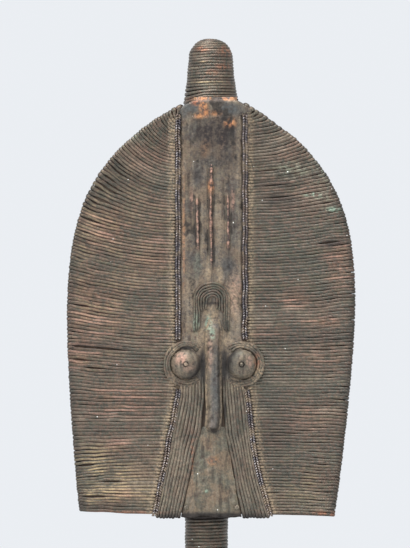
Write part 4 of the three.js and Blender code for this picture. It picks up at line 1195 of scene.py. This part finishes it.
def remade(source, voxel, rounds):
    """A copy of a CAD node's shape in even, fine faces, in millimetres."""
    bm = bmesh.new()
    bm.from_mesh(source.data)
    bmesh.ops.remove_doubles(bm, verts=bm.verts, dist=1e-6)
    rough = bpy.data.objects.new("rough", mesh_from(bm, "rough"))
    bpy.context.scene.collection.objects.link(rough)
    remesh = rough.modifiers.new("even", "REMESH")
    remesh.mode = "VOXEL"
    remesh.voxel_size = voxel * MM
    soften = rough.modifiers.new("soften", "SMOOTH")
    soften.factor = 0.5
    soften.iterations = rounds
    ready = rough.evaluated_get(bpy.context.evaluated_depsgraph_get())
    mesh = bpy.data.meshes.new_from_object(ready)
    bpy.data.objects.remove(rough)
    mesh.transform(Matrix.Scale(1 / MM, 4))
    return mesh


def tool_marks(places, cell, seed):
    """Shallow scallops of a carver's blade: 1 in the middle of each cut, 0 on the ridges between cuts."""
    rng = np.random.default_rng(seed)
    flat = places / np.array(cell)
    low = np.floor(flat.min(axis=0)) - 1
    counts = (np.ceil(flat.max(axis=0)) - low + 2).astype(int)
    shape = tuple(counts)
    jitter = rng.uniform(0.1, 0.9, (*shape, flat.shape[1]))
    home = np.floor(flat) - low
    nearest = np.full(len(flat), 9.0)
    for step in np.ndindex(*(3,) * flat.shape[1]):
        corner = np.clip(home.astype(int) + np.array(step) - 1, 0, counts - 1)
        centre = corner + jitter[tuple(corner.T)] + low
        nearest = np.minimum(nearest, ((flat - centre) ** 2).sum(axis=1))
    return np.clip(1 - nearest / 0.6, 0, 1)


def carve(mesh, places, depth):
    """Moves each vertex inwards by a depth."""
    normals = np.empty(len(mesh.vertices) * 3)
    mesh.vertices.foreach_get("normal", normals)
    move_to(mesh, places - normals.reshape(-1, 3) * depth[:, None])


def wooden_head():
    mesh = remade(frame["nodes"]["wooden_head"], 1.5, 6)
    places = coordinates(mesh)
    normals = np.empty(len(mesh.vertices) * 3)
    mesh.vertices.foreach_get("normal", normals)
    behind = smooth(0.1, 0.6, normals.reshape(-1, 3)[:, 1])
    cuts = tool_marks(places[:, [0, 2]], (8, 24), 200)
    depth = behind * (0.75 * cuts + 0.25 * ripple(places, 30, 201) + 0.1 * ripple(places, 6, 202))
    carve(mesh, places, np.maximum(depth, -0.2))
    x = places[:, 0]
    z = places[:, 2]
    front_dust = patches(x, z, MARKS["dust"]) * (1 - behind)
    put(mesh, "worn", behind * smooth(0.35, 0.0, cuts))
    dust = np.maximum(front_dust, 0.25 * behind * smooth(0.2, 0, cuts))
    piece("carved_head", mesh, CARVED_WOOD, ["wooden_head"], dust)


def base_block():
    low, high = (np.array(corner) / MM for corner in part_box("base"))
    half = 0.5 * (high - low)
    middle = 0.5 * (high + low)
    bm = bmesh.new()
    bmesh.ops.create_cube(bm, size=2)
    bmesh.ops.subdivide_edges(bm, edges=bm.edges, cuts=47, use_grid_fill=True)
    mesh = mesh_from(bm, "base")
    places = coordinates(mesh)
    places = np.sign(places) * (1 - (1 - np.abs(places)) ** 1.7) * half
    spots = places * 1.0
    corner = 2.6 + 0.6 * ripple(spots, 30, 210)
    core = np.clip(places, -(half - corner[:, None]), half - corner[:, None])
    edge = places - core
    length = np.linalg.norm(edge, axis=1, keepdims=True)
    rounded = core + edge / np.maximum(length, 1e-6) * np.minimum(length, corner[:, None])
    flat = np.abs(places) >= half - 1e-6
    worn = smooth(1, 2.4, (np.abs(edge) > 0.6 * corner[:, None]).sum(axis=1).astype(float))
    rounded = np.where(flat.sum(axis=1, keepdims=True) > 0, rounded, places)
    move_to(mesh, rounded + middle)
    places = coordinates(mesh)
    under = places[:, 2] < low[2] + 0.5
    depth = 0.12 * ripple(places, 14, 211) + 0.12 + 0.3 * worn * np.abs(ripple(places, 7, 212))
    carve(mesh, places, np.where(under, 0, np.maximum(depth, 0)))
    put(mesh, "worn", 0.7 * worn)
    dust = 0.25 * smooth(high[2] - 2, high[2], places[:, 2])
    piece("stand_block", mesh, STAINED_WOOD, ["base"], dust)


CARVED_WOOD = wood_finish("carved_wood", (0.045, 0.028, 0.018), (0.12, 0.075, 0.045), 9, 0.5)
STAINED_WOOD = wood_finish("stained_wood", (0.02, 0.013, 0.009), (0.055, 0.034, 0.022), 9, 0.38)

wooden_head()
base_block()


# Stage, light and camera

VIEW = Sizes(centre_x=-1.05, centre_z=272.4, height=383.6, distance=2600, face_y=-14)


def stage():
    bm = bmesh.new()
    bmesh.ops.create_circle(bm, cap_ends=True, radius=0.7, segments=96)
    floor = bpy.data.objects.new("floor", mesh_from(bm, "floor"))
    floor.location.z = -0.0005
    bpy.context.scene.collection.objects.link(floor)
    f = Finish("pale_floor")
    cloud = f.noise(300, detail=2)
    shade = f.mix(f.span(cloud, 0.3, 0.7), (0.8, 0.81, 0.82), (0.84, 0.85, 0.86))
    floor.data.materials.append(f.surface(shade, 0.8, 0.0, f.bump(cloud, 0.05)))


def world():
    made = bpy.data.worlds.new("pale_room")
    bpy.context.scene.world = made
    made.use_nodes = True
    backdrop = made.node_tree.nodes["Background"]
    backdrop.inputs["Color"].default_value = (0.9, 0.93, 0.97, 1)
    backdrop.inputs["Strength"].default_value = 0.92


def softbox(name, place, target, size, power, colour=(1, 1, 1)):
    lamp = bpy.data.lights.new(name, "AREA")
    lamp.shape = "RECTANGLE"
    lamp.size, lamp.size_y = size
    lamp.energy = power
    lamp.color = colour
    made = bpy.data.objects.new(name, lamp)
    made.location = place
    made.rotation_euler = (Vector(target) - Vector(place)).to_track_quat("-Z", "Y").to_euler()
    bpy.context.scene.collection.objects.link(made)


def camera():
    made = bpy.data.cameras.new("camera")
    made.sensor_fit = "VERTICAL"
    made.sensor_height = 24
    made.lens = 24 * VIEW.distance / VIEW.height
    holder = bpy.data.objects.new("camera", made)
    holder.location = Vector((VIEW.centre_x, VIEW.face_y - VIEW.distance, VIEW.centre_z)) * MM
    holder.rotation_euler = (math.pi / 2, 0, 0)
    bpy.context.scene.collection.objects.link(holder)
    bpy.context.scene.camera = holder


stage()
world()
softbox("left_softbox", (-0.9, -0.9, 0.75), (0, 0, 0.27), (0.6, 0.9), 10)
softbox("right_softbox", (1.0, -0.8, 0.7), (0, 0, 0.27), (0.6, 0.9), 4)
softbox("top_softbox", (-0.1, -0.3, 1.3), (0, 0, 0.3), (0.8, 0.5), 14)
camera()
bpy.context.scene.view_settings.view_transform = "Standard"
